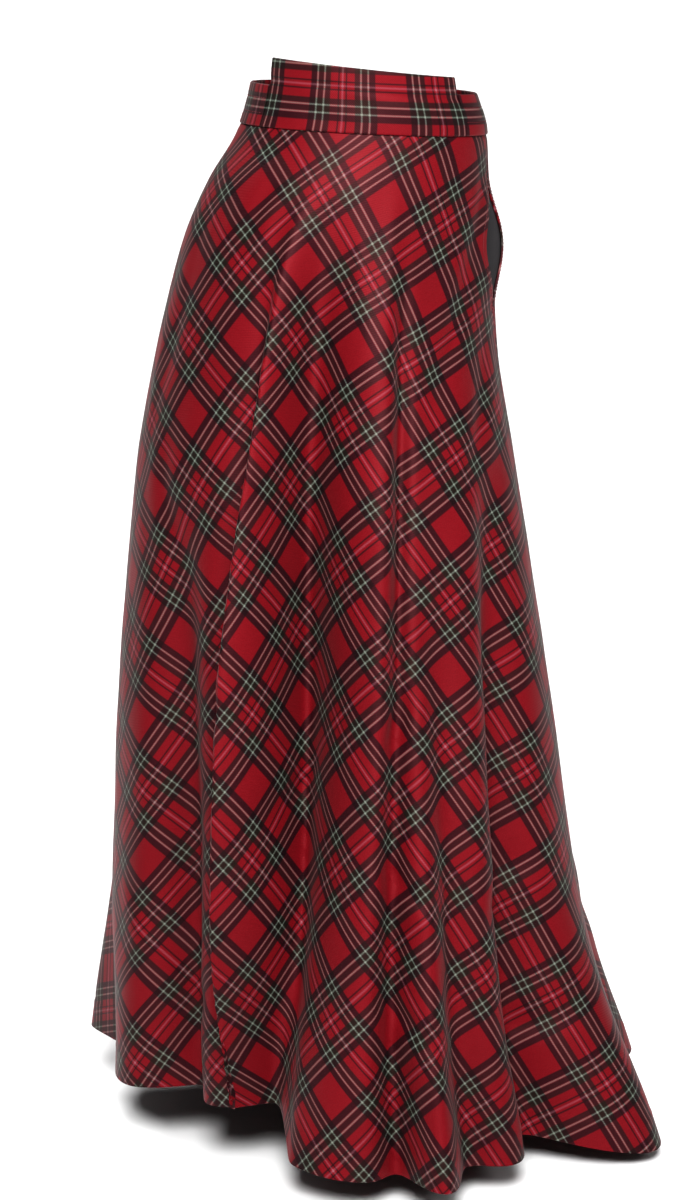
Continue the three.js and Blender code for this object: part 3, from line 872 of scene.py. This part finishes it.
def lining_cloth(name):
    """Black pocket lining: plain weave with a low satiny shine."""
    shader = Shader(name)
    weave = shader.noise(1600.0, 1.0)
    shade = shader.math("MULTIPLY_ADD", shader.noise(60.0, 3.0), 0.5, 0.75)
    black = (*linear(34, 31, 33), 1.0)
    shader.link(shader.mix("MULTIPLY", 1.0, black, shade), shader.surface.inputs["Base Color"])
    shader.link(shader.bump(weave, 0.3, 0.0003), shader.surface.inputs["Normal"])
    shader.set_surface({"Roughness": 0.6, "Sheen Weight": 0.1})
    return shader.material


def sewing_thread(name, colour):
    """Matt polyester thread with a fine twist."""
    shader = Shader(name)
    twist = shader.math("MULTIPLY_ADD", shader.noise(3000.0, 1.0), 0.4, 0.8)
    shader.link(shader.mix("MULTIPLY", 1.0, (*colour, 1.0), twist), shader.surface.inputs["Base Color"])
    shader.link(shader.bump(shader.noise(4000.0, 1.0), 0.3, 0.0001), shader.surface.inputs["Normal"])
    shader.set_surface({"Roughness": 0.55})
    return shader.material


def made_once(name, make, *values):
    """The material of this name, made the first time it is wanted."""
    return bpy.data.materials.get(name) or make(name, *values)


def skirt_check(scene):
    return made_once("wool_check_skirt", wool_check, scene.skirt_check, scene.skirt_cloth.nap)


def band_check(scene):
    return made_once("wool_check_band", wool_check, scene.skirt_check, scene.skirt_cloth.nap)


def attach(piece, slot, *nodes):
    """The piece rides on the skirt's one body and stands for nodes. The slot is not used."""
    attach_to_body(piece, "root")
    if nodes:
        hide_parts(*nodes)


# Where the check falls on each panel: repeats by which the two sets of threads are moved
FRONT_PHASE = (2.087, 2.749)
BACK_PHASE = (0.3, 0.15)


def panel_cloth(name, panel, phase, scene):
    threads = bias_threads(panel, scene.skirt_check, phase)
    return cloth_wall(name, panel.outer, panel.inner, threads, skirt_check(scene))


class SKIRT_OT_front_panel(bpy.types.Operator):
    """Front panel, cut on the bias, hung from the waistband in uneven flutes"""
    bl_idname = "skirt.front_panel"
    bl_label = "Front panel"

    def execute(self, context):
        scene = context.scene
        panel = front_panel(scene.skirt_cloth)
        piece = panel_cloth("skirt_front_cloth", panel, FRONT_PHASE, scene)
        attach(piece, "skirt_cloth", "skirt_front")
        return {"FINISHED"}


class SKIRT_OT_back_panel(bpy.types.Operator):
    """Back panel, hung from the elastic waistband"""
    bl_idname = "skirt.back_panel"
    bl_label = "Back panel"

    def execute(self, context):
        scene = context.scene
        panel = back_panel(scene.skirt_cloth)
        piece = panel_cloth("skirt_back_cloth", panel, BACK_PHASE, scene)
        attach(piece, "skirt_cloth", "skirt_back")
        return {"FINISHED"}


# Where the straight-cut check falls on the waistband: middle of a wide red stripe along it, and the
# height of a single rose line above the waist seam
BAND_RED_ALONG = 29
BAND_ROSE_HEIGHT = 44
# Height above the waist seam at which lengths round the band are measured, and in how many steps
BAND_MEASURED_AT = 20
BAND_MEASURED_STEPS = 1440


def band_threads(azimuth, height, check):
    fine = np.linspace(0, 360, BAND_MEASURED_STEPS + 1)
    lengths = lengths_along(oval(fine, waist_height(fine) + BAND_MEASURED_AT)[0])
    total = lengths[-1]
    turn = np.mod(azimuth, 360)
    along = np.interp(turn, fine, lengths)
    along = np.where(turn > 180, along - total, along)
    repeat = check.repeat / MM
    return np.stack([
        (along - BAND_RED_ALONG) / repeat,
        np.broadcast_to((height - BAND_ROSE_HEIGHT) / repeat + 0.5, along.shape)], axis=-1)


def band_wall(name, azimuth, height, rise, thickness, scene):
    """A waistband from grids of azimuth and height above the waist seam: its top and bottom edges
    are folds of the cloth, so they are rounded."""
    point, _, out = oval(azimuth, waist_height(azimuth) + height)
    to_edge = np.minimum(height - height[-1:], height[:1] - height)
    roll = thickness / 2 * (1 - np.sqrt(1 - (1 - np.clip(to_edge / (thickness / 2), 0, 1)) ** 2))
    outer = point + out * (BAND_PROUD + rise - roll)[..., None]
    inner = point + out * (BAND_PROUD - thickness + roll)[..., None]
    threads = band_threads(azimuth, height, scene.skirt_check)
    return cloth_wall(name, outer, inner, threads, band_check(scene))


# Rows in each rounded edge of a band
EDGE_ROWS = 5


def edge_spaced(count, roll):
    """Numbers from 0 to 1 with rows bunched in both rounded edges."""
    edge = roll * (1 - np.cos(np.linspace(0, math.pi / 2, EDGE_ROWS)))
    return np.concatenate([edge, np.linspace(roll, 1 - roll, count)[1:-1], 1 - edge[::-1]])


# Front waistband: grid, and share of its height in each rounded edge
FRONT_BAND_ROWS, FRONT_BAND_COLUMNS = 34, 121
FRONT_BAND_ROLL = 0.024
# Its ripples, its belly, and the dent over the back band's top: depth, half-width and sway
RIPPLE, BELLY = 0.45, 0.8
DENT, DENT_WIDTH, DENT_SWAY = -0.7, 3.0, 4


def flat_band_rise(azimuth, height, share):
    """How far the worn front band stands out from its plain form."""
    turn = np.radians(azimuth)
    across, up = np.sin(9 * turn + 3.1 * share + 0.6), np.sin(3.3 * share * math.pi + 1.2 * turn)
    ripple = RIPPLE * across * up
    belly = BELLY * np.sin(np.pi * share) * np.sin(2.3 * turn + 0.8)
    dent = DENT * mound(height - BACK_BAND_HEIGHT + DENT_SWAY * np.sin(2 * turn), DENT_WIDTH)
    return (ripple + belly + dent) * np.sin(np.pi * np.clip(share, 0, 1)) ** 0.5


class SKIRT_OT_front_waistband(bpy.types.Operator):
    """Flat front waistband, higher than the back one, with folded edges"""
    bl_idname = "skirt.front_waistband"
    bl_label = "Front waistband"

    def execute(self, context):
        end = FRONT_BAND_END - float(gap_angle(0))
        azimuth = np.linspace(-end, end, FRONT_BAND_COLUMNS)[None, :]
        top_z = BAND_TOP_Z - BAND_TOP_TILT * BAND_MIDDLE_REACH * np.sin(np.radians(azimuth))
        top = top_z - waist_height(azimuth)
        share = 1 - edge_spaced(FRONT_BAND_ROWS, FRONT_BAND_ROLL)[:, None]
        height = top * share
        azimuth = np.broadcast_to(azimuth, height.shape)
        rise = flat_band_rise(azimuth, height, share)
        piece = band_wall(
            "waistband_front_cloth", azimuth, height, rise, FRONT_BAND_CLOTH, context.scene)
        attach(piece, "band_cloth", "waistband_front")
        return {"FINISHED"}


# Back waistband: heights of the rows of stitching that hold the elastic, grid, and share of its
# height in each rounded edge
ELASTIC_ROWS = (13, 27)
BACK_BAND_ROWS, BACK_BAND_COLUMNS = 32, 601
BACK_BAND_ROLL = 0.045
# Shares of the gathers that run straight up, that drift sideways with height, and that are finer
STRAIGHT_SHARE, DRIFT_SHARE, FINE_SHARE = 0.55, 0.45, 0.2
DRIFT_ANGLE, DRIFT_FROM = 0.06, 20
FINE_ANGLE, FINE_GATHERS = 1.3, 2.3 * GATHERS
# How far a row of stitching pulls the cloth in, how wide, and how much it flattens the gathers. Near
# the front band, outside this angle from the centre back, it pulls less
PULL, PULL_WIDTH, PULL_FLATTENS = 0.9, 2.0, 0.45
FULL_PULL_ANGLE, SIDE_PULL = 86, 0.4


def elastic_rise(azimuth, height):
    """Gathers of the elastic waistband: deep between the rows of stitching and flat on them."""
    straight = gather_wave(azimuth)
    drifting = gather_wave(azimuth + DRIFT_ANGLE * (height - DRIFT_FROM))
    fine = gather_wave(azimuth + FINE_ANGLE, FINE_GATHERS)
    depth = GATHER_RISE * (STRAIGHT_SHARE * straight + DRIFT_SHARE * drifting + FINE_SHARE * fine)
    rows = sum(mound(height - row, PULL_WIDTH) for row in ELASTIC_ROWS)
    from_back = np.abs(near_turn(azimuth, 180) - 180)
    pull = np.where(from_back < FULL_PULL_ANGLE, PULL, PULL * SIDE_PULL)
    return depth * (1 - PULL_FLATTENS * rows) - pull * rows


class SKIRT_OT_back_waistband(bpy.types.Operator):
    """Back waistband, a casing gathered on its elastic"""
    bl_idname = "skirt.back_waistband"
    bl_label = "Back waistband"

    def execute(self, context):
        end = FRONT_BAND_END + float(gap_angle(0))
        azimuth = np.linspace(end, 360 - end, BACK_BAND_COLUMNS)[None, :]
        height = BACK_BAND_HEIGHT * (1 - edge_spaced(BACK_BAND_ROWS, BACK_BAND_ROLL)[:, None])
        azimuth, height = np.broadcast_arrays(azimuth, height)
        rise = elastic_rise(azimuth, height)
        piece = band_wall(
            "waistband_back_cloth", azimuth, height, rise, BACK_BAND_CLOTH, context.scene)
        attach(piece, "band_cloth", "waistband_back")
        return {"FINISHED"}


def skirt_normals(azimuth, share, step=0.002, turn=0.2):
    """Outward unit directions of the skirt, from places a step down and a turn round each side."""
    safe = np.clip(share, 2 * step, 1 - 2 * step)
    down = skirt_surface(azimuth, safe + step) - skirt_surface(azimuth, safe - step)
    across = skirt_surface(azimuth + turn, safe) - skirt_surface(azimuth - turn, safe)
    return unit(np.cross(down, across))


def bag_surface(share, angle):
    """Outer face of the pocket bag, by share of its length and angle round it in radians."""
    top, bottom, apart, spread = (
        from_table(BAG_RINGS, "share", column, share) for column in ("top", "bottom", "apart", "spread"))
    z = (top + bottom) / 2 + (top - bottom) / 2 * np.cos(angle)
    mouth_centre = (seam_front(z) + seam_back(z)) / 2
    mouth_half = (seam_back(z) - seam_front(z)) / 2 + BAG_TUCK_ANGLE
    centre = mouth_centre + (BAG_END_ANGLE - mouth_centre) * share
    azimuth = centre - spread * mouth_half * np.sin(angle)
    down = share_at_height(azimuth, z)
    inward = CLOTH + BAG_CLEARANCE + apart * (1 - np.sin(angle)) / 2
    return skirt_surface(azimuth, down) - skirt_normals(azimuth, down) * inward[..., None]


# Pocket bag: grid, depth of its wrinkles and the share where they are full
BAG_ROWS, BAG_COLUMNS = 45, 73
BAG_WRINKLE, BAG_WRINKLE_FULL = 0.5, 0.15


class SKIRT_OT_pocket_bag(bpy.types.Operator):
    """Pocket bag of black lining, sewn into the side seam"""
    bl_idname = "skirt.pocket_bag"
    bl_label = "Pocket bag"

    def execute(self, context):
        share = np.linspace(0, 1, BAG_ROWS)[:, None]
        angle = np.linspace(0, 2 * math.pi, BAG_COLUMNS)[None, :]
        share, angle = np.broadcast_arrays(share, angle)
        outer = bag_surface(share, angle)
        down = np.gradient(outer, axis=0)
        across = np.gradient(outer, axis=1)
        across[:, 0] = across[:, -1] = outer[:, 1] - outer[:, -2]
        normals = unit(np.cross(down, across))
        waves = np.sin(3 * angle + 9 * share) * np.sin(14 * share + 2 * np.sin(angle))
        wrinkle = BAG_WRINKLE * waves * smoothstep(0, BAG_WRINKLE_FULL, share)
        middle = outer[:, :-1].mean(axis=1, keepdims=True)
        if float(np.sum((outer - middle) * normals)) < 0:
            normals = -normals
        outer = outer - normals * np.abs(wrinkle)[..., None]
        inner = outer - normals * BAG_CLOTH
        material = made_once("pocket_lining_cloth", lining_cloth)
        piece = closed_bag("pocket_bag_lining", outer[:, :-1], inner[:-2, :-1], material)
        attach(piece, "pocket_lining", "pocket_bag")
        return {"FINISHED"}


def closed_bag(name, outer, inner, material):
    """Bag of rings round its length, open at the first ring and closed past the last one."""
    def numbered(rings, first):
        number = first + np.arange(rings.shape[0] * rings.shape[1]).reshape(rings.shape[:2])
        return number, np.roll(number, -1, axis=1)
    inner_first = outer.shape[0] * outer.shape[1]
    ends_first = inner_first + inner.shape[0] * inner.shape[1]
    a, a_next = numbered(outer, 0)
    b, b_next = numbered(inner, inner_first)
    faces = np.stack([a[:-1], a[1:], a_next[1:], a_next[:-1]], axis=-1).reshape(-1, 4).tolist()
    faces += np.stack([b[:-1], b_next[:-1], b_next[1:], b[1:]], axis=-1).reshape(-1, 4).tolist()
    faces += np.stack([a[0], a_next[0], b_next[0], b[0]], axis=-1).tolist()
    faces += [(int(x), ends_first, int(y)) for x, y in zip(a[-1], a_next[-1])]
    faces += [(int(y), ends_first + 1, int(x)) for x, y in zip(b[-1], b_next[-1])]
    vertices = np.concatenate([
        outer.reshape(-1, 3), inner.reshape(-1, 3),
        outer[-1].mean(axis=0)[None], inner[-1].mean(axis=0)[None]])
    return mesh_object(name, vertices, faces, None, material, smooth_angle=60)


class StitchRing(NamedTuple):
    """One ring of a stitch: share of its length, height over the cloth and girth, both in radii."""
    share: float
    lift: float
    girth: float


STITCH_RINGS = [
    StitchRing(0, -0.7, 0.5),
    StitchRing(0.18, 0.55, 0.95),
    StitchRing(0.5, 0.95, 1),
    StitchRing(0.82, 0.55, 0.95),
    StitchRing(1, -0.7, 0.5),
]
STITCH_SIDES = 6
# Half the length of path over which a stitch takes its direction
STITCH_AIM = 0.2


def stitch_row(path, normals, stitch):
    """Vertices and faces of a row of stitches along a path: each is a short rounded length of
    thread whose ends sink into the cloth."""
    lengths = lengths_along(path)
    length, pitch, radius = stitch.length / MM, stitch.pitch / MM, stitch.radius / MM
    starts = np.arange(0, lengths[-1] - length, pitch)
    around = STITCH_SIDES
    rings, lift, girth = np.array(STITCH_RINGS).T

    def at(values, where):
        return np.stack([np.interp(where, lengths, values[:, k]) for k in range(3)], axis=-1)
    where = starts[:, None] + rings[None, :] * length
    centre = at(path, where)
    up = unit(at(normals, where))
    ahead = unit(at(path, where + STITCH_AIM) - at(path, where - STITCH_AIM))
    side = np.cross(ahead, up)
    centre = centre + up * (lift * radius)[None, :, None]
    turn = np.linspace(0, 2 * math.pi, around, endpoint=False)
    spoke = side[..., None, :] * np.cos(turn)[:, None] + up[..., None, :] * np.sin(turn)[:, None]
    points = centre[..., None, :] + spoke * (girth * radius)[None, :, None, None]
    faces = []
    for s in range(len(starts)):
        base = s * len(rings) * around
        for r in range(len(rings) - 1):
            for k in range(around):
                a, b = base + r * around + k, base + r * around + (k + 1) % around
                faces.append((a, b, b + around, a + around))
        faces.append(tuple(base + k for k in reversed(range(around))))
        faces.append(tuple(base + (len(rings) - 1) * around + k for k in range(around)))
    return points.reshape(-1, 3), faces


def stitch_object(name, rows, material):
    """One object from several rows of stitches."""
    vertices, faces, first = [], [], 0
    for points, row_faces in rows:
        vertices.append(points)
        faces += [tuple(first + k for k in face) for face in row_faces]
        first += len(points)
    return mesh_object(name, np.concatenate(vertices), faces, None, material)


def along_edge(panel, distance, first_column=True):
    """Points and normals of a panel at a distance in from one of its side edges, or beyond the edge
    where the distance is below zero."""
    outer = panel.outer if first_column else panel.outer[:, ::-1]
    normals = panel.normals if first_column else panel.normals[:, ::-1]
    points, ups = np.empty((len(outer), 3)), np.empty((len(outer), 3))
    for j, row in enumerate(lengths_along(outer)):
        for k in range(3):
            points[j, k] = np.interp(distance, row, outer[j, :, k])
            ups[j, k] = np.interp(distance, row, normals[j, :, k])
    beyond = unit(outer[:, 0] - outer[:, 1]) * max(0, -distance)
    return points + beyond, unit(ups)


# Elastic rows start this many degrees past the band's end. The pocket mouth is stitched this far
# from its edge, and this far past each end of it
ELASTIC_ROW_START = 1.5
ELASTIC_ROW_STEPS = 2400
MOUTH_STITCH_IN = 6.0
MOUTH_STITCH_PAST = 4


class SKIRT_OT_stitching(bpy.types.Operator):
    """Rows of stitches: elastic casing and pocket mouth"""
    bl_idname = "skirt.stitching"
    bl_label = "Stitching"

    def execute(self, context):
        scene = context.scene
        stitch = scene.skirt_stitch
        material = made_once("sewing_thread", sewing_thread, tuple(stitch.colour))
        end = FRONT_BAND_END + ELASTIC_ROW_START
        azimuth = np.linspace(end, 360 - end, ELASTIC_ROW_STEPS)
        rows = []
        for height in ELASTIC_ROWS:
            point, _, out = oval(azimuth, waist_height(azimuth) + height)
            rise = BAND_PROUD + elastic_rise(azimuth, np.full_like(azimuth, float(height)))
            rows.append(stitch_row(point + out * rise[:, None], out, stitch))
        attach(stitch_object("elastic_stitching", rows, material), "band_cloth")
        front, back = front_panel(scene.skirt_cloth), back_panel(scene.skirt_cloth)
        rows = []
        for panel, first_column in ((front, False), (back, True)):
            points, ups = along_edge(panel, MOUTH_STITCH_IN, first_column)
            z = points[:, 2]
            in_mouth = (z < POCKET_TOP + MOUTH_STITCH_PAST) & (z > POCKET_BOTTOM - MOUTH_STITCH_PAST)
            rows.append(stitch_row(points[in_mouth], ups[in_mouth], stitch))
        attach(stitch_object("pocket_mouth_stitching", rows, material), "skirt_cloth")
        return {"FINISHED"}


# Seam allowances: width, thickness, and clearance from the panel, which grows with the distance
# from the seam and rises and falls in soft waves
ALLOWANCE = 11
ALLOWANCE_CLOTH = 1.0
ALLOWANCE_CLEARANCE = 0.35
ALLOWANCE_SPRING = 0.05
ALLOWANCE_WAVE, ALLOWANCE_WAVE_DROP = 0.35, 17
# The front's strip reaches past the seam and covers it, and the back's begins beside it
FRONT_REACH = 1.3
BACK_REACH = -0.9
# The strips step in this share before the hem's double cloth
ALLOWANCE_STEP = 0.006
ALLOWANCE_COLUMNS = 7
# The strips end at this share, just above the hem's fold. They begin this far below the band on the
# left, and this far below the pocket mouth on the right, where the bag ends
ALLOWANCE_END = 0.997
ALLOWANCE_BELOW_BAND = 2
ALLOWANCE_BELOW_MOUTH = 50
# Check on the strips: drop from one row to the next, and repeats from the seam to the free edge
ALLOWANCE_ROW_DROP = 5.0
ALLOWANCE_REPEATS = 0.12


def allowance_strip(panel, first_column, reach, left):
    """Points and normals of the outer face of a strip beside one edge of a panel."""
    share = panel.share[:, 0]
    wall = np.where(turned_up(share + ALLOWANCE_STEP), HEM_CLOTH, CLOTH)
    face, ups = [], []
    for distance in np.linspace(-reach, ALLOWANCE, ALLOWANCE_COLUMNS):
        points, up = along_edge(panel, distance, first_column)
        wave = ALLOWANCE_WAVE * np.sin(points[:, 2] / ALLOWANCE_WAVE_DROP + distance)
        over = max(0, distance)
        inward = wall + ALLOWANCE_CLEARANCE + ALLOWANCE_SPRING * over + np.abs(wave) * over / ALLOWANCE
        face.append(points - up * inward[:, None])
        ups.append(up)
    edge = face[0][:, 2]
    top = edge[0] - ALLOWANCE_BELOW_BAND if left else POCKET_BOTTOM - ALLOWANCE_BELOW_MOUTH
    keep = (edge < top) & (share < ALLOWANCE_END)
    order = slice(None) if first_column else slice(None, None, -1)
    return np.stack(face, axis=1)[keep, order], np.stack(ups, axis=1)[keep, order]


class SKIRT_OT_seam_allowances(bpy.types.Operator):
    """Pressed-open seam allowances inside the side seams"""
    bl_idname = "skirt.seam_allowances"
    bl_label = "Seam allowances"

    def execute(self, context):
        scene = context.scene
        front, back = front_panel(scene.skirt_cloth), back_panel(scene.skirt_cloth)
        material = skirt_check(scene)
        strips = (
            ("left_front_allowance", front, True, FRONT_REACH, "skirt_front_cloth"),
            ("left_back_allowance", back, False, BACK_REACH, "skirt_back_cloth"),
            ("right_front_allowance", front, False, FRONT_REACH, "skirt_front_cloth"),
            ("right_back_allowance", back, True, BACK_REACH, "skirt_back_cloth"),
        )
        for name, panel, first_column, reach, carrier in strips:
            face, ups = allowance_strip(panel, first_column, reach, name.startswith("left"))
            row_drop = ALLOWANCE_ROW_DROP / (scene.skirt_check.repeat / MM)
            drop = np.cumsum(np.full(face.shape[:2], row_drop), axis=0)
            across = np.broadcast_to(
                np.linspace(0, ALLOWANCE_REPEATS, face.shape[1]), face.shape[:2])
            threads = np.stack([drop + across, drop - across], axis=-1)
            piece = cloth_wall(name, face, face - ups * ALLOWANCE_CLOTH, threads, material)
            attach(piece, "skirt_cloth")
        return {"FINISHED"}


# Camera: where it stands, how far it looks down, the height of its film and how far it sees
CAMERA_PLACE = (-0.012, -3.0, 0.150)
CAMERA_DOWN = 12.326
FILM_HEIGHT = 36.0
CAMERA_SEES = 400.0


class SKIRT_OT_camera(bpy.types.Operator):
    """Camera at the photograph's angle"""
    bl_idname = "skirt.camera"
    bl_label = "Camera"

    def execute(self, context):
        data = bpy.data.cameras.new("skirt_camera")
        data.sensor_fit = "VERTICAL"
        data.sensor_height = FILM_HEIGHT
        data.sensor_width = FILM_HEIGHT * PIXELS[0] / PIXELS[1]
        data.lens = context.scene.skirt_stage.lens
        data.clip_end = CAMERA_SEES
        camera = bpy.data.objects.new("skirt_camera", data)
        camera.location = CAMERA_PLACE
        camera.rotation_euler = (math.radians(90 - CAMERA_DOWN), 0.0, 0.0)
        context.scene.collection.objects.link(camera)
        context.scene.camera = camera
        return {"FINISHED"}


class StudioLight(NamedTuple):
    """A light by its setting: where it stands and what it shines at, in metres."""
    setting: str
    kind: str
    place: tuple
    towards: tuple


LIGHTS = [
    StudioLight("key", "SUN", (-0.1, -2.6, 1.9), (0.0, 0.0, -0.5)),
    StudioLight("fill", "SUN", (2.6, -1.4, 2.1), (0.0, 0.0, -0.5)),
    StudioLight("rear", "SUN", (-1.6, 2.4, 2.8), (0.0, 0.0, -0.5)),
    StudioLight("top", "AREA", (0.1, -1.5, 0.9), (0.0, 0.0, -0.25)),
]
SUN_SPREAD = 20
TOP_LIGHT_WIDTH = 1.4


def hang_light(studio, power):
    name = studio.setting + "_light"
    data = bpy.data.lights.new(name, studio.kind)
    if studio.kind == "SUN":
        data.angle = math.radians(SUN_SPREAD)
    else:
        data.shape = "SQUARE"
        data.size = TOP_LIGHT_WIDTH
    data.energy = power
    light = bpy.data.objects.new(name, data)
    direction = Vector(studio.towards) - Vector(studio.place)
    turn = direction.to_track_quat("-Z", "Y").to_matrix().to_4x4()
    light.matrix_world = Matrix.Translation(studio.place) @ turn
    bpy.context.scene.collection.objects.link(light)


# Floor: a wide disc, its radius in metres
FLOOR_RADIUS = 150.0
FLOOR_CORNERS = 96


class SKIRT_OT_stage(bpy.types.Operator):
    """Plain pale floor and soft studio light"""
    bl_idname = "skirt.stage"
    bl_label = "Floor and light"

    def execute(self, context):
        stage = context.scene.skirt_stage
        turn = np.linspace(0, 2 * math.pi, FLOOR_CORNERS, endpoint=False)
        rim = np.stack([np.cos(turn), np.sin(turn), np.zeros_like(turn)], axis=-1) * FLOOR_RADIUS
        rim[:, 2] = stage.floor
        shader = Shader("pale_floor")
        shade = shader.math("MULTIPLY_ADD", shader.noise(1.5, 2.0), 0.02, 0.99)
        colour = (*stage.floor_colour, 1.0)
        shader.link(shader.mix("MULTIPLY", 1.0, colour, shade), shader.surface.inputs["Base Color"])
        shader.set_surface({"Roughness": 0.95, "Specular IOR Level": 0.1})
        face = tuple(range(FLOOR_CORNERS))
        floor = mesh_object("studio_floor", rim / MM, [face], None, shader.material)
        for studio in LIGHTS:
            hang_light(studio, getattr(stage, studio.setting))
        world = bpy.data.worlds.new("studio_room")
        world.use_nodes = True
        background = world.node_tree.nodes["Background"]
        background.inputs["Color"].default_value = (1.0, 1.0, 1.0, 1.0)
        background.inputs["Strength"].default_value = stage.room
        context.scene.world = world
        context.scene.view_settings.view_transform = "Standard"
        context.scene.view_settings.look = "High Contrast"
        return {"FINISHED"}


class SKIRT_PT_sidebar(bpy.types.Panel):
    """Every step of the skirt, in order, with its sizes and colours"""
    bl_label = "Maxi skirt"
    bl_idname = "SKIRT_PT_sidebar"
    bl_space_type = "VIEW_3D"
    bl_region_type = "UI"
    bl_category = "Skirt"

    def draw(self, context):
        layout = self.layout
        for step in STEPS:
            layout.operator(step.bl_idname)
        for title, settings in (
                ("Check", context.scene.skirt_check), ("Cloth", context.scene.skirt_cloth),
                ("Stitching", context.scene.skirt_stitch), ("Stage", context.scene.skirt_stage)):
            box = layout.box()
            box.label(text=title)
            for name in settings.__annotations__:
                box.prop(settings, name)


SETTINGS = {
    "skirt_check": SkirtCheckSettings,
    "skirt_cloth": SkirtClothSettings,
    "skirt_stitch": SkirtStitchSettings,
    "skirt_stage": SkirtStageSettings,
}
STEPS = [
    SKIRT_OT_camera,
    SKIRT_OT_front_panel,
    SKIRT_OT_back_panel,
    SKIRT_OT_back_waistband,
    SKIRT_OT_front_waistband,
    SKIRT_OT_pocket_bag,
    SKIRT_OT_seam_allowances,
    SKIRT_OT_stitching,
    SKIRT_OT_stage,
]


def register():
    for made in (*SETTINGS.values(), *STEPS, SKIRT_PT_sidebar):
        bpy.utils.register_class(made)
    for name, group in SETTINGS.items():
        setattr(bpy.types.Scene, name, PointerProperty(type=group))


def unregister():
    for name in SETTINGS:
        delattr(bpy.types.Scene, name)
    for made in reversed((*SETTINGS.values(), *STEPS, SKIRT_PT_sidebar)):
        bpy.utils.unregister_class(made)


def corners(box):
    return [[float(value) for value in corner] for corner in box]


def main():
    register()
    for step in STEPS:
        group, name = step.bl_idname.split(".")
        getattr(getattr(bpy.ops, group), name)()


if __name__ == "__main__":
    main()
